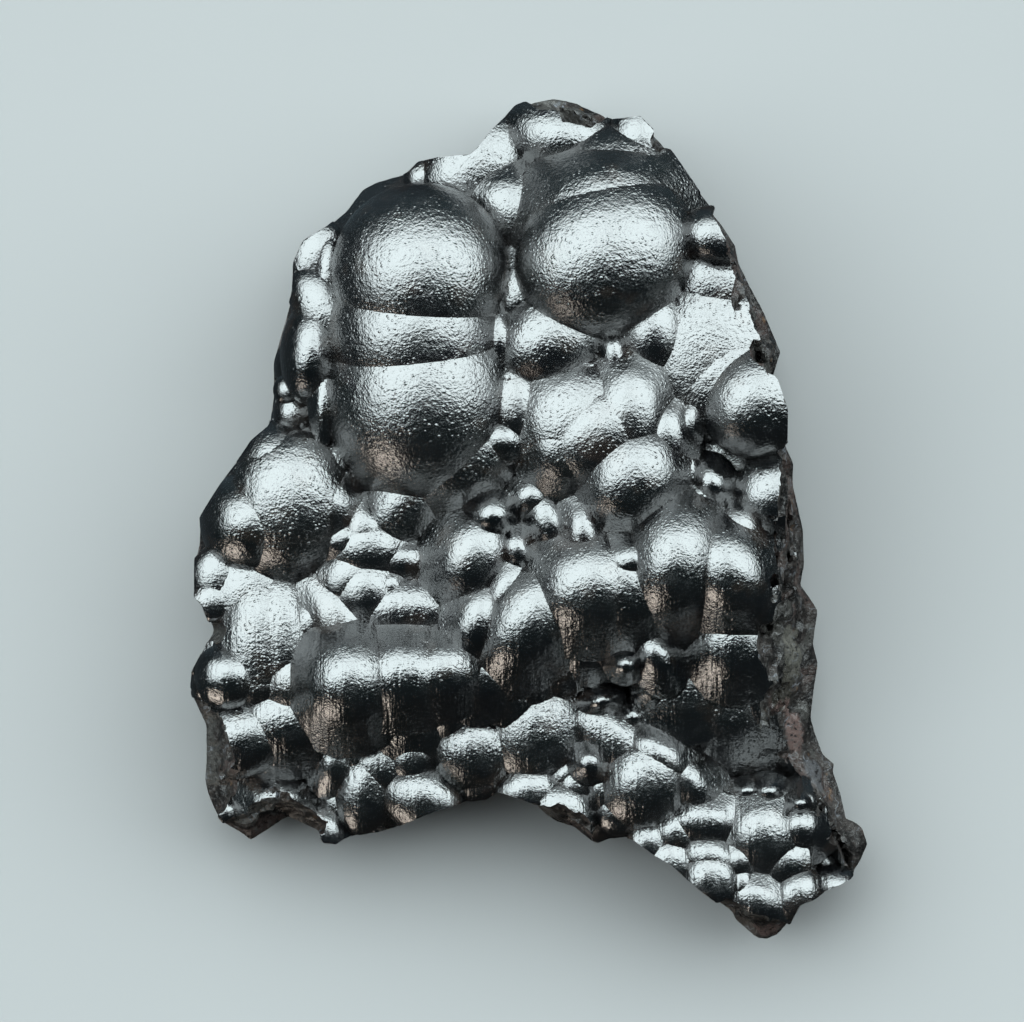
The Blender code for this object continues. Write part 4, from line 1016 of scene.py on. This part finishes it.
def soft_boxes(n, toward):
    """What comes from each direction: two wide soft boxes over the far edge of the table.

    They are laid out by the way a surface has to face to mirror them upward.
    """
    facing = n.vector("NORMALIZE", n.vector("ADD", toward, (0.0, 0.0, 1.0)))
    x, y = n.add("ShaderNodeSeparateXYZ", {0: facing}).outputs[:2]
    across = n.math("ABSOLUTE", n.math("SUBTRACT", x, 0.03))
    low_edge = n.math("ADD", n.between(across, 0.0, 0.42, 0.03, -0.15),
                      n.between(x, 0.05, 0.4, 0.0, 0.07))
    rounded = n.times(n.times(across, across), 0.55)
    width = n.between(across, 0.46, 0.68, 1.0, 0.0)
    gap = n.between(across, 0.0, 0.04, 0.55, 1.0)
    above = n.between(n.math("SUBTRACT", y, low_edge), -0.06, 0.12)
    below = n.between(n.math("ADD", y, rounded), 0.37, 0.61, 1.0, 0.0)
    boxes = n.times(n.times(width, gap), n.times(above, below))
    glint = n.between(n.vector("DISTANCE", facing, GLINT_TOWARD), 0.02, 0.23, 0.95, 0.0)
    left = n.between(x, -0.95, -0.55, 1.0, 0.0)
    under = n.between(y, -0.9, -0.2, 1.0, 0.0)
    light = n.mix(n.between(y, 0.35, 0.8), NEAR_DIM, FAR_DIM)
    light = n.mix(n.between(y, 0.72, 0.93), light, STEEP_DIM)
    light = n.mix(n.times(left, 0.5), light, LEFT_DIM)
    light = n.mix(n.times(under, 0.75), light, UNDER_DIM)
    light = n.mix(glint, light, GLINT_LIGHT)
    return n.mix(boxes, light, BOX_LIGHT)


def make_light():
    """The same soft boxes twice: far off for matt surfaces, and on a near tent for the skin."""
    world = bpy.data.worlds.new("studio")
    world.use_nodes = True
    bpy.context.scene.world = world
    n = Nodes(world.node_tree)
    light = soft_boxes(n, n.add("ShaderNodeTexCoord").outputs["Generated"])
    n.show(n.add("ShaderNodeBackground", {"Color": light}), "World")

    mesh = bpy.data.meshes.new("light_tent")
    ball = bmesh.new()
    bmesh.ops.create_icosphere(ball, subdivisions=5, radius=TENT_RADIUS * MM)
    ball.to_mesh(mesh)
    ball.free()
    tent = add_object("light_tent", mesh)
    material, n = new_material("tent_cloth")
    material.cycles.emission_sampling = "NONE"
    light = soft_boxes(n, n.vector("NORMALIZE", n.add("ShaderNodeTexCoord").outputs["Object"]))
    n.show(n.add("ShaderNodeEmission", {"Color": light}))
    mesh.materials.append(material)
    for ray in ("camera", "diffuse", "shadow", "transmission"):
        setattr(tent, "visible_" + ray, False)


def make_camera():
    """Straight above the specimen, far enough away for a flat view."""
    camera = bpy.data.cameras.new("camera")
    camera.lens = 389.0
    camera.clip_end = 10.0
    eye = add_object("camera", camera)
    eye.location = (-1.36 * MM, 0.64 * MM, 0.9)
    bpy.context.scene.camera = eye


piece = make_specimen()
piece.data.materials.append(make_skin())
piece.data.materials.append(make_fracture())
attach(piece, "root")
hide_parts("goethite")
make_floor()
make_light()
make_camera()
bpy.context.scene.view_settings.view_transform = "Standard"

bpy.context.view_layer.update()
